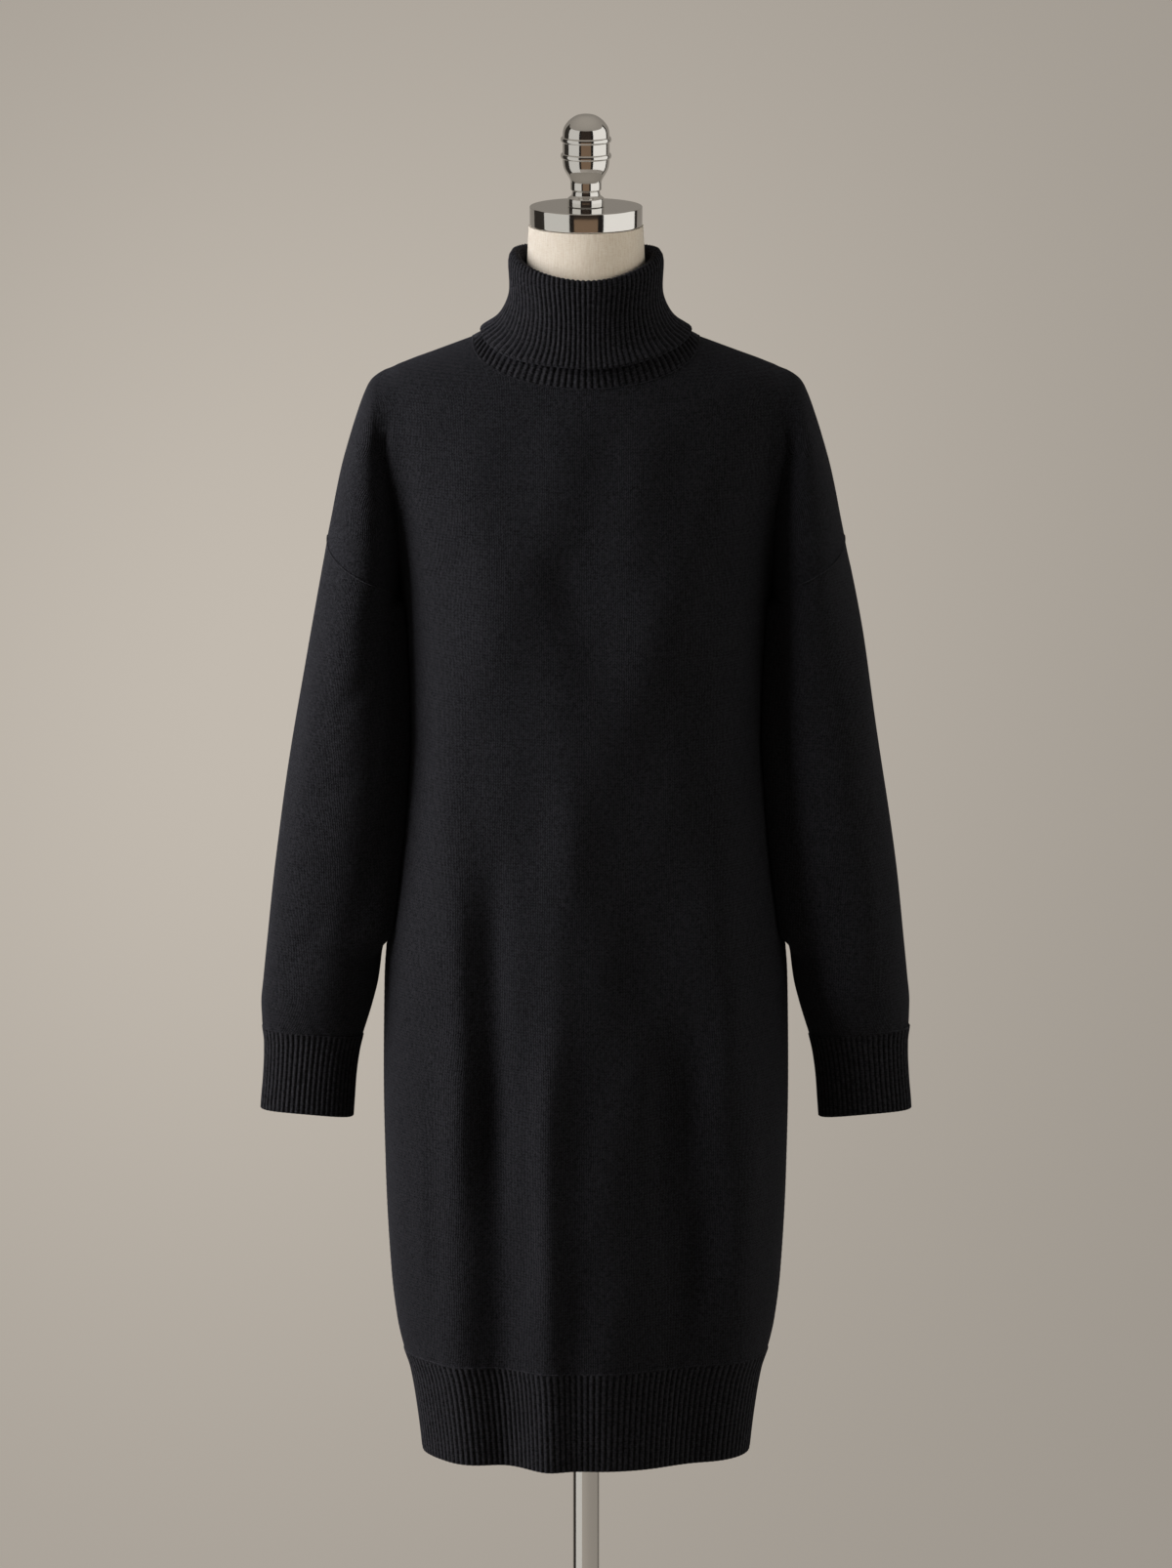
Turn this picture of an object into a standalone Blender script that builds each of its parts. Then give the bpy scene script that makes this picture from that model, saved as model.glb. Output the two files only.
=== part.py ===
"""A roll-neck sweater dress of black knit, worn by a limbless dress form on a round stand.

Metres, +Z up, front towards -Y. The origin is on the floor, under the middle of the stand's base.
Heights are above the floor, widths are from the middle line x = 0, and depths are from the plane
y = 0, in which the side seams and the shoulder seams lie.
"""

import math
from collections import namedtuple

import bpy
import numpy as np

FRONT, BACK = -1, 1
RIGHT_HAND, LEFT_HAND = -1, 1

# Walls and seams
CLOTH = 0.0020
SEAM_GAP = 0.0003
RIB_RISE = 0.0009
COLLAR_CLOTH = 0.0022

# Heights of the garment's seams and edges
HEM_Z = 0.4265
HEM_RIB_TOP_Z = 0.518
UNDERARM_Z = 1.190
DROP_SEAM_OUTER_Z = 1.243
SHOULDER_CORNER_Z = 1.335
NECK_SIDE_Z = 1.4172
NECK_HALF_WIDTH = 0.0975
NECK_DROP = {FRONT: 0.0322, BACK: 0.0080}

# Ribs all round each band
HEM_RIBS = 150
CUFF_RIBS = 50
COLLAR_RIBS = 86

# The body's outer surface: half its width, and how far its front and back lie from the side seams.
# Squareness is the exponent of the section's curve, 2 for an ellipse.
BodyRow = namedtuple("BodyRow", "z half_width front back squareness")
BODY = [
    BodyRow(1.4300, 0.0660, 0.0600, 0.0560, 1.5),
    BodyRow(1.4214, 0.0870, 0.0640, 0.0590, 1.5),
    BodyRow(1.4172, 0.0975, 0.0660, 0.0610, 1.5),
    BodyRow(1.4129, 0.1091, 0.0682, 0.0635, 1.5),
    BodyRow(1.4043, 0.1321, 0.0730, 0.0685, 1.5),
    BodyRow(1.3958, 0.1549, 0.0778, 0.0735, 1.55),
    BodyRow(1.3873, 0.1735, 0.0828, 0.0785, 1.6),
    BodyRow(1.3787, 0.1815, 0.0868, 0.0825, 1.7),
    BodyRow(1.3600, 0.1840, 0.0935, 0.0895, 1.9),
    BodyRow(1.3300, 0.1815, 0.1010, 0.0970, 2.1),
    BodyRow(1.3000, 0.1755, 0.1060, 0.1020, 2.3),
    BodyRow(1.2700, 0.1695, 0.1095, 0.1040, 2.4),
    BodyRow(1.2400, 0.1655, 0.1120, 0.1035, 2.4),
    BodyRow(1.1900, 0.1605, 0.1135, 0.1010, 2.4),
    BodyRow(1.1545, 0.1583, 0.1130, 0.0990, 2.4),
    BodyRow(1.1100, 0.1563, 0.1115, 0.0970, 2.4),
    BodyRow(1.0690, 0.1558, 0.1095, 0.0965, 2.4),
    BodyRow(1.0256, 0.1585, 0.1080, 0.0975, 2.4),
    BodyRow(0.9822, 0.1621, 0.1070, 0.1000, 2.4),
    BodyRow(0.9387, 0.1669, 0.1065, 0.1025, 2.4),
    BodyRow(0.8952, 0.1726, 0.1060, 0.1045, 2.4),
    BodyRow(0.8515, 0.1758, 0.1058, 0.1050, 2.4),
    BodyRow(0.7640, 0.1768, 0.1055, 0.1045, 2.4),
    BodyRow(0.6763, 0.1752, 0.1050, 0.1030, 2.4),
    BodyRow(0.5882, 0.1706, 0.1015, 0.0990, 2.4),
    BodyRow(0.5440, 0.1654, 0.0970, 0.0950, 2.35),
    BodyRow(0.5219, 0.1605, 0.0935, 0.0915, 2.3),
    BodyRow(0.4998, 0.1535, 0.0890, 0.0875, 2.3),
    BodyRow(0.4554, 0.1464, 0.0825, 0.0820, 2.3),
    BodyRow(0.4250, 0.1430, 0.0790, 0.0790, 2.3),
]

# The sleeve's outer surface, from the shoulder down: its outer and inner side and half its depth
ArmRow = namedtuple("ArmRow", "z outer inner depth")
ARM = [
    ArmRow(1.3925, 0.1625, 0.1540, 0.0000),
    ArmRow(1.3873, 0.1751, 0.1590, 0.0160),
    ArmRow(1.3787, 0.1862, 0.1650, 0.0270),
    ArmRow(1.3701, 0.1908, 0.1680, 0.0345),
    ArmRow(1.3488, 0.1985, 0.1715, 0.0450),
    ArmRow(1.3273, 0.2051, 0.1710, 0.0520),
    ArmRow(1.3059, 0.2110, 0.1670, 0.0570),
    ArmRow(1.2845, 0.2157, 0.1640, 0.0610),
    ArmRow(1.2630, 0.2198, 0.1620, 0.0640),
    ArmRow(1.2415, 0.2240, 0.1608, 0.0660),
    ArmRow(1.2200, 0.2275, 0.1603, 0.0675),
    ArmRow(1.1900, 0.2332, 0.1605, 0.0685),
    ArmRow(1.1554, 0.2397, 0.1600, 0.0685),
    ArmRow(1.1122, 0.2471, 0.1585, 0.0675),
    ArmRow(1.0689, 0.2540, 0.1580, 0.0655),
    ArmRow(1.0256, 0.2601, 0.1605, 0.0630),
    ArmRow(0.9822, 0.2658, 0.1642, 0.0600),
    ArmRow(0.9387, 0.2715, 0.1692, 0.0570),
    ArmRow(0.8952, 0.2766, 0.1752, 0.0540),
    ArmRow(0.8515, 0.2815, 0.1803, 0.0505),
    ArmRow(0.8297, 0.2836, 0.1855, 0.0440),
    ArmRow(0.8120, 0.2830, 0.1908, 0.0375),
    ArmRow(0.8035, 0.2818, 0.1935, 0.0325),
    ArmRow(0.7940, 0.2808, 0.1960, 0.0300),
    ArmRow(0.7859, 0.2808, 0.1978, 0.0290),
    ArmRow(0.7640, 0.2818, 0.2008, 0.0278),
    ArmRow(0.7421, 0.2837, 0.2024, 0.0270),
    ArmRow(0.7200, 0.2850, 0.2040, 0.0270),
]
ARM_TOP_Z = 1.3925

# How far out the cloth hangs across the valley between body and sleeve, above the armpit
ValleyRow = namedtuple("ValleyRow", "z x depth")
VALLEY = [
    ValleyRow(1.1900, 0.1600, 0.0000),
    ValleyRow(1.2150, 0.1610, 0.0180),
    ValleyRow(1.2500, 0.1630, 0.0330),
    ValleyRow(1.2900, 0.1660, 0.0420),
    ValleyRow(1.3300, 0.1700, 0.0460),
    ValleyRow(1.3600, 0.1720, 0.0410),
    ValleyRow(1.3787, 0.1700, 0.0300),
    ValleyRow(1.3925, 0.1600, 0.0120),
    ValleyRow(1.4000, 0.1500, 0.0000),
]
VALLEY_WIDTH = 0.021

SLEEVE_CLEARANCE = 0.0006
CUFF_TOP_Z = 0.8035
CUFF_END_Z = 0.7305
CUFF_TILT = 0.087
CUFF_ARCH = 0.003
UNDERARM_INNER_RISE = 0.005

# Soft folds of the body, each a ridge or, with a negative rise, a trough. Each starts at z_top and has
# its whole rise from z_full down, and its middle line moves from x_top to x_hem.
Fold = namedtuple("Fold", "face x_top x_hem width rise z_top z_full")
FOLDS = [
    Fold(FRONT, -0.120, -0.116, 0.019, 0.0080, 1.22, 0.98),
    Fold(FRONT, -0.084, -0.072, 0.019, -0.0090, 1.08, 0.70),
    Fold(FRONT, -0.020, -0.034, 0.018, 0.0110, 1.12, 0.62),
    Fold(FRONT, 0.006, 0.012, 0.026, 0.0065, 1.06, 0.50),
    Fold(FRONT, 0.064, 0.098, 0.027, -0.0085, 1.10, 0.74),
    Fold(FRONT, 0.112, 0.148, 0.018, 0.0080, 1.16, 0.80),
    Fold(BACK, -0.118, -0.132, 0.024, 0.0060, 1.16, 0.80),
    Fold(BACK, -0.058, -0.072, 0.028, -0.0070, 1.08, 0.66),
    Fold(BACK, 0.000, -0.012, 0.026, 0.0085, 1.12, 0.58),
    Fold(BACK, 0.066, 0.060, 0.028, -0.0060, 1.06, 0.74),
    Fold(BACK, 0.116, 0.130, 0.022, 0.0060, 1.18, 0.82),
]

# The cloth over the form's bust: two soft mounds
BUST_X, BUST_Z = 0.074, 1.185
BUST_WIDTH, BUST_HEIGHT, BUST_RISE = 0.046, 0.062, 0.0085

# The collar's knit, from the neck seam up inside, over the roll and down outside to its free edge.
# Each row is the middle of the cloth at the sides, the front and the back, as distance out and height.
CollarRow = namedtuple("CollarRow", "side side_z front front_z back back_z")
COLLAR = [
    CollarRow(0.0850, 1.4226, 0.0790, 1.3990, 0.0700, 1.4168),
    CollarRow(0.0700, 1.4300, 0.0728, 1.4120, 0.0655, 1.4255),
    CollarRow(0.0612, 1.4430, 0.0648, 1.4300, 0.0610, 1.4400),
    CollarRow(0.0588, 1.4620, 0.0604, 1.4480, 0.0590, 1.4600),
    CollarRow(0.0578, 1.4830, 0.0580, 1.4660, 0.0575, 1.4810),
    CollarRow(0.0612, 1.4925, 0.0612, 1.4755, 0.0605, 1.4905),
    CollarRow(0.0652, 1.4850, 0.0650, 1.4680, 0.0645, 1.4830),
    CollarRow(0.0648, 1.4560, 0.0668, 1.4420, 0.0655, 1.4550),
    CollarRow(0.0748, 1.4350, 0.0745, 1.4180, 0.0728, 1.4330),
    CollarRow(0.0912, 1.4236, 0.0866, 1.4024, 0.0840, 1.4200),
]
COLLAR_ROLL_ROW = 5
COLLAR_PLAIN_COLUMNS = 40

# The dress form below its shoulders, a general figure
FormRow = namedtuple("FormRow", "z half_width front back")
FORM = [
    FormRow(0.7600, 0.1480, 0.0800, 0.0930),
    FormRow(0.8100, 0.1600, 0.0850, 0.0985),
    FormRow(0.8750, 0.1655, 0.0880, 0.0995),
    FormRow(0.9400, 0.1560, 0.0860, 0.0940),
    FormRow(1.0100, 0.1330, 0.0790, 0.0830),
    FormRow(1.0650, 0.1210, 0.0760, 0.0760),
    FormRow(1.1200, 0.1290, 0.0860, 0.0800),
    FormRow(1.1750, 0.1420, 0.1050, 0.0880),
    FormRow(1.2200, 0.1500, 0.1055, 0.0940),
    FormRow(1.2600, 0.1580, 0.1030, 0.0970),
]
# The form's shoulders are the cloth's own surface at these heights, moved down and in
FORM_SHOULDER_LEVELS = [1.300, 1.335, 1.360, 1.378, 1.390, 1.399, 1.407, 1.4135, 1.4214, 1.4290]
FORM_DROP = 0.0040
FORM_SET_IN = 0.0027
FORM_SQUARENESS = 2.2
FORM_COLUMNS = 32

NeckRow = namedtuple("NeckRow", "z radius")
FORM_NECK = [
    NeckRow(1.4400, 0.0545),
    NeckRow(1.4726, 0.0515),
    NeckRow(1.5144, 0.0494),
]

# The stand and the cap, turned about the z axis
CAP_RADIUS, CAP_BOTTOM_Z, CAP_TOP_Z, CAP_BEVEL = 0.0487, 1.5147, 1.5312, 0.0008
POLE_RADIUS = 0.0120
BASE_BOSS_RADIUS, BASE_BOSS_TOP_Z = 0.0200, 0.0450
BASE_PROFILE = [(0.1900, 0.0), (0.1900, 0.0070), (0.1870, 0.0100), (0.0500, 0.0150), (0.0200, 0.0200)]
TURNED_COLUMNS = 20
BASE_COLUMNS = 40

# The finial's turned outline above the cap, as radius and height above the cap's top
FINIAL_PROFILE = [
    (0.0159, 0.0003),
    (0.0159, 0.0070),
    (0.0122, 0.0100),
    (0.0118, 0.0137),
    (0.0134, 0.0148),
    (0.0134, 0.0208),
    (0.0142, 0.0235),
    (0.0172, 0.0285),
    (0.0196, 0.0345),
    (0.0203, 0.0410),
    (0.0219, 0.0438),
    (0.0203, 0.0466),
    (0.0203, 0.0552),
    (0.0219, 0.0580),
    (0.0203, 0.0608),
    (0.0200, 0.0650),
    (0.0172, 0.0716),
    (0.0110, 0.0774),
    (0.0040, 0.0801),
]

# Colours, roughness and metallic value of each material
BLACK_KNIT = ("black_knit", (0.016, 0.016, 0.019), 0.92, 0.0)
LINEN = ("natural_linen", (0.66, 0.58, 0.47), 0.85, 0.0)
CHROME = ("chrome", (0.80, 0.80, 0.80), 0.08, 1.0)
SHARP_DEGREES = 40


def clear_scene():
    for thing in list(bpy.data.objects):
        bpy.data.objects.remove(thing)


def material(spec):
    """The material of that name, made once."""
    name, colour, roughness, metallic = spec
    found = bpy.data.materials.get(name)
    if found:
        return found
    made = bpy.data.materials.new(name)
    made.use_nodes = True
    shader = made.node_tree.nodes["Principled BSDF"]
    shader.inputs["Base Color"].default_value = (*colour, 1.0)
    shader.inputs["Roughness"].default_value = roughness
    shader.inputs["Metallic"].default_value = metallic
    return made


def signed_volume(points, faces):
    """Six times the volume that the faces close in, negative if they point inwards."""
    total = 0.0
    for face in faces:
        first = points[face[0]]
        for one, two in zip(face[1:-1], face[2:]):
            total += float(np.dot(first, np.cross(points[one], points[two])))
    return total


def add_solid(name, points, faces, spec):
    """A mesh object of its own, with its faces turned to point out."""
    points = np.asarray(points, float)
    if signed_volume(points, faces) < 0:
        faces = [tuple(reversed(face)) for face in faces]
    mesh = bpy.data.meshes.new(name)
    mesh.from_pydata([tuple(point) for point in points], [], faces)
    mesh.shade_smooth()
    mesh.set_sharp_from_angle(angle=math.radians(SHARP_DEGREES))
    mesh.materials.append(material(spec))
    made = bpy.data.objects.new(name, mesh)
    bpy.context.scene.collection.objects.link(made)
    return made


# Curves through the tables


def curve(rows, column):
    """A smooth curve through one column of a table, as a function of the height z.

    Its slope at each row is the harmonic mean of the slopes on either side, so it never overshoots.
    """
    pairs = sorted((row.z, getattr(row, column)) for row in rows)
    at, value = np.array(pairs).T
    steps = np.diff(at)
    slopes = np.diff(value) / steps
    tangents = np.concatenate([slopes[:1], np.zeros(len(at) - 2), slopes[-1:]])
    before, after = slopes[:-1], slopes[1:]
    same_way = before * after > 0
    tangents[1:-1][same_way] = 2 * (before * after)[same_way] / (before + after)[same_way]

    def read(where):
        where = np.clip(where, at[0], at[-1])
        i = np.clip(np.searchsorted(at, where) - 1, 0, len(at) - 2)
        t = (where - at[i]) / steps[i]
        low = (1 + 2 * t) * (1 - t) ** 2 * value[i] + t * (1 - t) ** 2 * steps[i] * tangents[i]
        high = (3 - 2 * t) * t**2 * value[i + 1] - (1 - t) * t**2 * steps[i] * tangents[i + 1]
        return low + high

    return read


body_half_width = curve(BODY, "half_width")
body_depth_of = {FRONT: curve(BODY, "front"), BACK: curve(BODY, "back")}
body_squareness = curve(BODY, "squareness")
arm_outer = curve(ARM, "outer")
arm_inner = curve(ARM, "inner")
arm_half_depth = curve(ARM, "depth")
valley_x = curve(VALLEY, "x")
valley_depth_at = curve(VALLEY, "depth")


def smooth_step(t):
    t = np.clip(t, 0, 1)
    return t * t * (3 - 2 * t)


# The garment's outer surface: its depth in front of or behind the plane of the side seams


def fold_rise(x, z, face):
    """How far the folds push the cloth out at a place on the front or the back."""
    rise = 0.0
    for fold in FOLDS:
        if fold.face != face:
            continue
        strength = smooth_step((fold.z_top - z) / (fold.z_top - fold.z_full))
        down = np.clip((fold.z_top - z) / (fold.z_top - HEM_Z), 0, 1)
        middle = fold.x_top + (fold.x_hem - fold.x_top) * down
        rise = rise + fold.rise * strength * np.exp(-(((x - middle) / fold.width) ** 2))
    return rise


def bust_rise(x, z, face):
    if face == BACK:
        return 0.0
    across = (np.abs(x) - BUST_X) / BUST_WIDTH
    along = (z - BUST_Z) / BUST_HEIGHT
    return BUST_RISE * np.exp(-(across**2) - along**2)


def torso_depth(x, z, face, shaped=True):
    share = np.clip(np.abs(x) / body_half_width(z), 0, 1)
    depth = body_depth_of[face](z)
    if shaped:
        depth = depth + fold_rise(x, z, face) + bust_rise(x, z, face)
    return depth * np.sqrt(1 - share ** body_squareness(z))


def arm_depth(x, z):
    middle = (arm_outer(z) + arm_inner(z)) / 2
    reach = (arm_outer(z) - arm_inner(z)) / 2
    share = np.clip(np.abs(np.abs(x) - middle) / reach, 0, 1)
    return np.where(z < ARM_TOP_Z, arm_half_depth(z), 0) * np.sqrt(1 - share**2)


def outline_half_width(z):
    """Half the width of the garment above the drop seams, sleeves' tops and all."""
    wide = np.maximum(body_half_width(z), arm_outer(z))
    return np.where(z < ARM_TOP_Z, wide, body_half_width(z))


def valley_depth(x, z):
    """The cloth that hangs between the body and the sleeve. It ends where the outline does."""
    across = (np.abs(x) - valley_x(z)) / VALLEY_WIDTH
    share = np.clip(np.abs(x) / outline_half_width(z), 0, 1)
    return valley_depth_at(z) * np.exp(-(across**2)) * np.sqrt(1 - share**8)


CREASE_SHARPNESS = 4


def upper_depth(x, z, face):
    """The body, the cloth over the arms and what hangs between them, as one surface."""
    parts = torso_depth(x, z, face), arm_depth(x, z), valley_depth(x, z)
    return sum(part**CREASE_SHARPNESS for part in parts) ** (1 / CREASE_SHARPNESS)


def crease_x(z):
    """Where the body meets the sleeve at a height: the body falls away to it and the sleeve rises from it."""
    low, high = float(arm_inner(z)), float(body_half_width(z))
    for _ in range(40):
        middle = (low + high) / 2
        if torso_depth(middle, z, FRONT, False) > arm_depth(middle, z):
            low = middle
        else:
            high = middle
    return (low + high) / 2


def outward(depth, x, z, face):
    """The outward direction of the surface y = face * depth(x, z)."""
    step = 0.0002
    across = (depth(x + step, z, face) - depth(x - step, z, face)) / (2 * step)
    along = (depth(x, z + step, face) - depth(x, z - step, face)) / (2 * step)
    normal = np.stack([-across, face * np.ones_like(across), -along], axis=-1)
    return normal / np.linalg.norm(normal, axis=-1, keepdims=True)


def evenly_read(value, x, y, count):
    """The value along the curve (x, y), read at count places spaced evenly along that curve."""
    lengths = np.concatenate([[0], np.cumsum(np.hypot(np.diff(x), np.diff(y)))])
    return np.interp(np.linspace(0, lengths[-1], count), lengths, value)


# Solids from walls of cloth


def boundary_edges(faces):
    """The edges that only one face uses, each in that face's direction."""
    ends = {}
    for face in faces:
        for one, two in zip(face, face[1:] + face[:1]):
            ends[(one, two)] = ends.get((one, two), 0) + 1
    return [(one, two) for one, two in ends if (two, one) not in ends]


def add_wall(name, outer, inner, faces, spec):
    """A wall with the same faces on both sides, closed along its edges."""
    count = len(outer)
    inside = [tuple(index + count for index in reversed(face)) for face in faces]
    rim = [(two, one, one + count, two + count) for one, two in boundary_edges(faces)]
    return add_solid(name, np.concatenate([outer, inner]), faces + inside + rim, spec)


def strip(one, two):
    """Triangles between two rows of point numbers, which may have different counts."""
    triangles = []
    i = j = 0
    last_one, last_two = len(one) - 1, len(two) - 1
    while i < last_one or j < last_two:
        if j == last_two or (i < last_one and (i + 1) * last_two <= (j + 1) * last_one):
            triangles.append((one[i], one[i + 1], two[j]))
            i += 1
        else:
            triangles.append((one[i], two[j + 1], two[j]))
            j += 1
    return triangles


def add_banded(name, rows, spec, closed):
    """A solid whose rows of points follow each other round the wall's section, back to the first.

    Closed rows are rings. Open ones end in a flat face at each end.
    """
    numbers, start = [], 0
    for row in rows:
        numbers.append(list(range(start, start + len(row))) + ([start] if closed else []))
        start += len(row)
    faces = []
    for one, two in zip(numbers, numbers[1:] + numbers[:1]):
        faces += strip(one, two)
    if not closed:
        faces.append(tuple(row[0] for row in numbers))
        faces.append(tuple(row[-1] for row in reversed(numbers)))
    return add_solid(name, np.concatenate(rows), faces, spec)


# Front and back panels

TORSO_COLUMNS = 14
NECK_COLUMNS = 7
ARM_COLUMNS = 8
LOWER_ROWS = 10
UPPER_ROWS = 10
LOWER_SPACING = 1.2
UPPER_SPACING = 2.0
# From this share of the way up, the column on the crease leaves it for the shoulder's edge.
CREASE_TURNS_AT = 0.6


def top_edge(face):
    """The panel's top edge in the front view, from the middle of the neckline to the shoulder's corner."""
    angles = np.linspace(0, math.pi / 2, NECK_COLUMNS + 1)
    neck_x = NECK_HALF_WIDTH * np.sin(angles)
    neck_z = NECK_SIDE_Z - NECK_DROP[face] * np.cos(angles)
    fine_z = np.linspace(NECK_SIDE_Z, SHOULDER_CORNER_Z, 200)
    count = TORSO_COLUMNS - NECK_COLUMNS + ARM_COLUMNS + 1
    shoulder_z = evenly_read(fine_z, outline_half_width(fine_z), fine_z, count)[1:]
    return np.append(neck_x, outline_half_width(shoulder_z)), np.append(neck_z, shoulder_z)


def panel_half(face):
    """Rows of (x, z) from the hem rib up, for the half with x > 0. Rows below the underarm are shorter."""
    torso_share = np.sin(np.linspace(0, math.pi / 2, TORSO_COLUMNS + 1))
    rows = []
    for i in range(LOWER_ROWS):
        low = HEM_RIB_TOP_Z + SEAM_GAP
        z = low + (UNDERARM_Z - low) * (i / LOWER_ROWS) ** LOWER_SPACING
        rows.append((body_half_width(z) * torso_share, np.full(TORSO_COLUMNS + 1, z)))
    top_x, top_z = top_edge(face)
    arm_share = np.linspace(0, 1, ARM_COLUMNS + 1)[1:]
    seam_z = UNDERARM_Z + (DROP_SEAM_OUTER_Z - UNDERARM_Z) * arm_share
    base_z = np.append(np.full(TORSO_COLUMNS + 1, UNDERARM_Z), seam_z)
    top_share = top_x[: TORSO_COLUMNS + 1] / top_x[TORSO_COLUMNS]
    for i in range(UPPER_ROWS + 1):
        up = 1 - (1 - i / UPPER_ROWS) ** UPPER_SPACING
        z = base_z + (top_z - base_z) * up
        turn = smooth_step((up - CREASE_TURNS_AT) / (1 - CREASE_TURNS_AT))
        crease = crease_x(z[TORSO_COLUMNS]) * (1 - turn) + top_x[TORSO_COLUMNS] * turn
        torso_x = crease * (torso_share + (top_share - torso_share) * up)
        around = (1 - np.cos(math.pi * arm_share)) / 2
        around = around + (1 - around) * up**4
        outline = outline_half_width(z[TORSO_COLUMNS + 1 :])
        arm_x = crease + (outline - crease) * around
        rows.append((np.append(torso_x, arm_x), z))
    return rows


def panel_points(face):
    """The panel's outer and inner points and its faces."""
    outer, inner, numbers = [], [], []
    for level, (half_x, half_z) in enumerate(panel_half(face)):
        upper = level >= LOWER_ROWS
        depth = upper_depth if upper else torso_depth
        x = np.append(-half_x[:0:-1], half_x)
        z = np.append(half_z[:0:-1], half_z)
        y = face * depth(x, z, face)
        normal = outward(depth, x, z, face)
        in_seam = np.zeros(len(x), bool)
        in_seam[[0, -1]] = level < LOWER_ROWS or level > LOWER_ROWS
        if level == LOWER_ROWS + UPPER_ROWS:
            in_seam |= np.abs(x) >= NECK_HALF_WIDTH - 1e-9
        corners = []
        if level == LOWER_ROWS:
            corners = [ARM_COLUMNS, len(x) - 1 - ARM_COLUMNS]
            in_seam[[0, -1]] = True
            in_seam[corners] = True
        level_edge = np.full(len(x), level == 0)
        if level == LOWER_ROWS:
            level_edge |= np.abs(x) > half_x[TORSO_COLUMNS] - 1e-9
        normal[in_seam, 1] = 0
        normal[level_edge, 2] = 0
        normal /= np.linalg.norm(normal, axis=1, keepdims=True)
        y = np.where(in_seam, face * SEAM_GAP / 2, y + face * SEAM_GAP / 2)
        points = np.stack([x, y, z], axis=1)
        inside = points - CLOTH * normal
        inside[corners] = points[corners] + [0, 0, UNDERARM_INNER_RISE]
        numbers.append(list(range(len(outer), len(outer) + len(x))))
        outer += list(points)
        inner += list(inside)
    faces = []
    for level, (low, high) in enumerate(zip(numbers, numbers[1:])):
        # Only the torso's columns go on below the drop seam.
        skip = ARM_COLUMNS if level == LOWER_ROWS - 1 else 0
        high = high[skip : len(high) - skip]
        for i in range(len(low) - 1):
            faces.append((low[i], low[i + 1], high[i + 1], high[i]))
    return np.array(outer), np.array(inner), faces


def add_panel(name, face):
    outer, inner, faces = panel_points(face)
    add_wall(name, outer, inner, faces, BLACK_KNIT)


# Hem ribs

HEM_PLAIN_COLUMNS = 40
HEM_NARROWING_Z = 0.484


def hem_angles(face, count):
    """Angles round half the section that space its points evenly along the cloth."""
    fine = np.linspace(-math.pi / 2, math.pi / 2, 600)
    x = body_half_width(HEM_Z) * np.sin(fine)
    return evenly_read(fine, x, torso_depth(x, HEM_Z, face), count)


def hem_row(face, z, angles, offset):
    """One row of the hem rib, that far outside the body's surface."""
    x = body_half_width(z) * np.sin(angles)
    level = np.full(len(x), z)
    normal = outward(torso_depth, x, level, face)
    normal[[0, -1], 1] = 0
    normal[:, 2] = 0
    normal /= np.linalg.norm(normal, axis=1, keepdims=True)
    y = face * (torso_depth(x, level, face) + SEAM_GAP / 2)
    return np.stack([x, y, level], axis=1) + np.asarray(offset)[:, None] * normal


def add_hem_rib(name, face):
    fine = hem_angles(face, HEM_RIBS + 1)
    plain = hem_angles(face, HEM_PLAIN_COLUMNS + 1)
    rise = np.where(np.arange(HEM_RIBS + 1) % 2, RIB_RISE, 0.0)
    heights = [HEM_RIB_TOP_Z, HEM_NARROWING_Z, HEM_Z]
    rows = [hem_row(face, z, fine, rise) for z in heights]
    rows += [hem_row(face, z, plain, np.full(len(plain), -CLOTH)) for z in reversed(heights)]
    add_banded(name, rows, BLACK_KNIT, closed=False)


# Sleeves and cuffs

SLEEVE_COLUMNS = 2 * ARM_COLUMNS
SLEEVE_ROWS = 10
CUFF_PLAIN_COLUMNS = 24


def arm_ring(angles, z, offset=0.0):
    """Points round the sleeve at heights z, starting at its outer side."""
    inner = arm_inner(z) + SLEEVE_CLEARANCE
    middle, reach = (arm_outer(z) + inner) / 2, (arm_outer(z) - inner) / 2
    depth = arm_half_depth(z)
    across, along = np.cos(angles), np.sin(angles)
    normal = np.stack([across / reach, along / depth, np.zeros(len(angles))], axis=1)
    normal /= np.linalg.norm(normal, axis=1, keepdims=True)
    points = np.stack([middle + reach * across, depth * along, z], axis=1)
    return points + np.asarray(offset).reshape(-1, 1) * normal


def drop_seam_z(angles):
    """The drop seam's height round the sleeve: highest outside, lowest in the armpit."""
    turned = np.abs((angles + math.pi) % (2 * math.pi) - math.pi) / math.pi
    return DROP_SEAM_OUTER_Z + (UNDERARM_Z - DROP_SEAM_OUTER_Z) * turned


def cuff_z(angles, level):
    """The height round the wrist of an edge that is square to the sleeve, and arched before and behind."""
    reach = (arm_outer(level) - arm_inner(level)) / 2
    return level + CUFF_TILT * reach * np.cos(angles) + CUFF_ARCH * np.sin(angles) ** 2


def handed(points, hand):
    return points * [hand, 1, 1]


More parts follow.
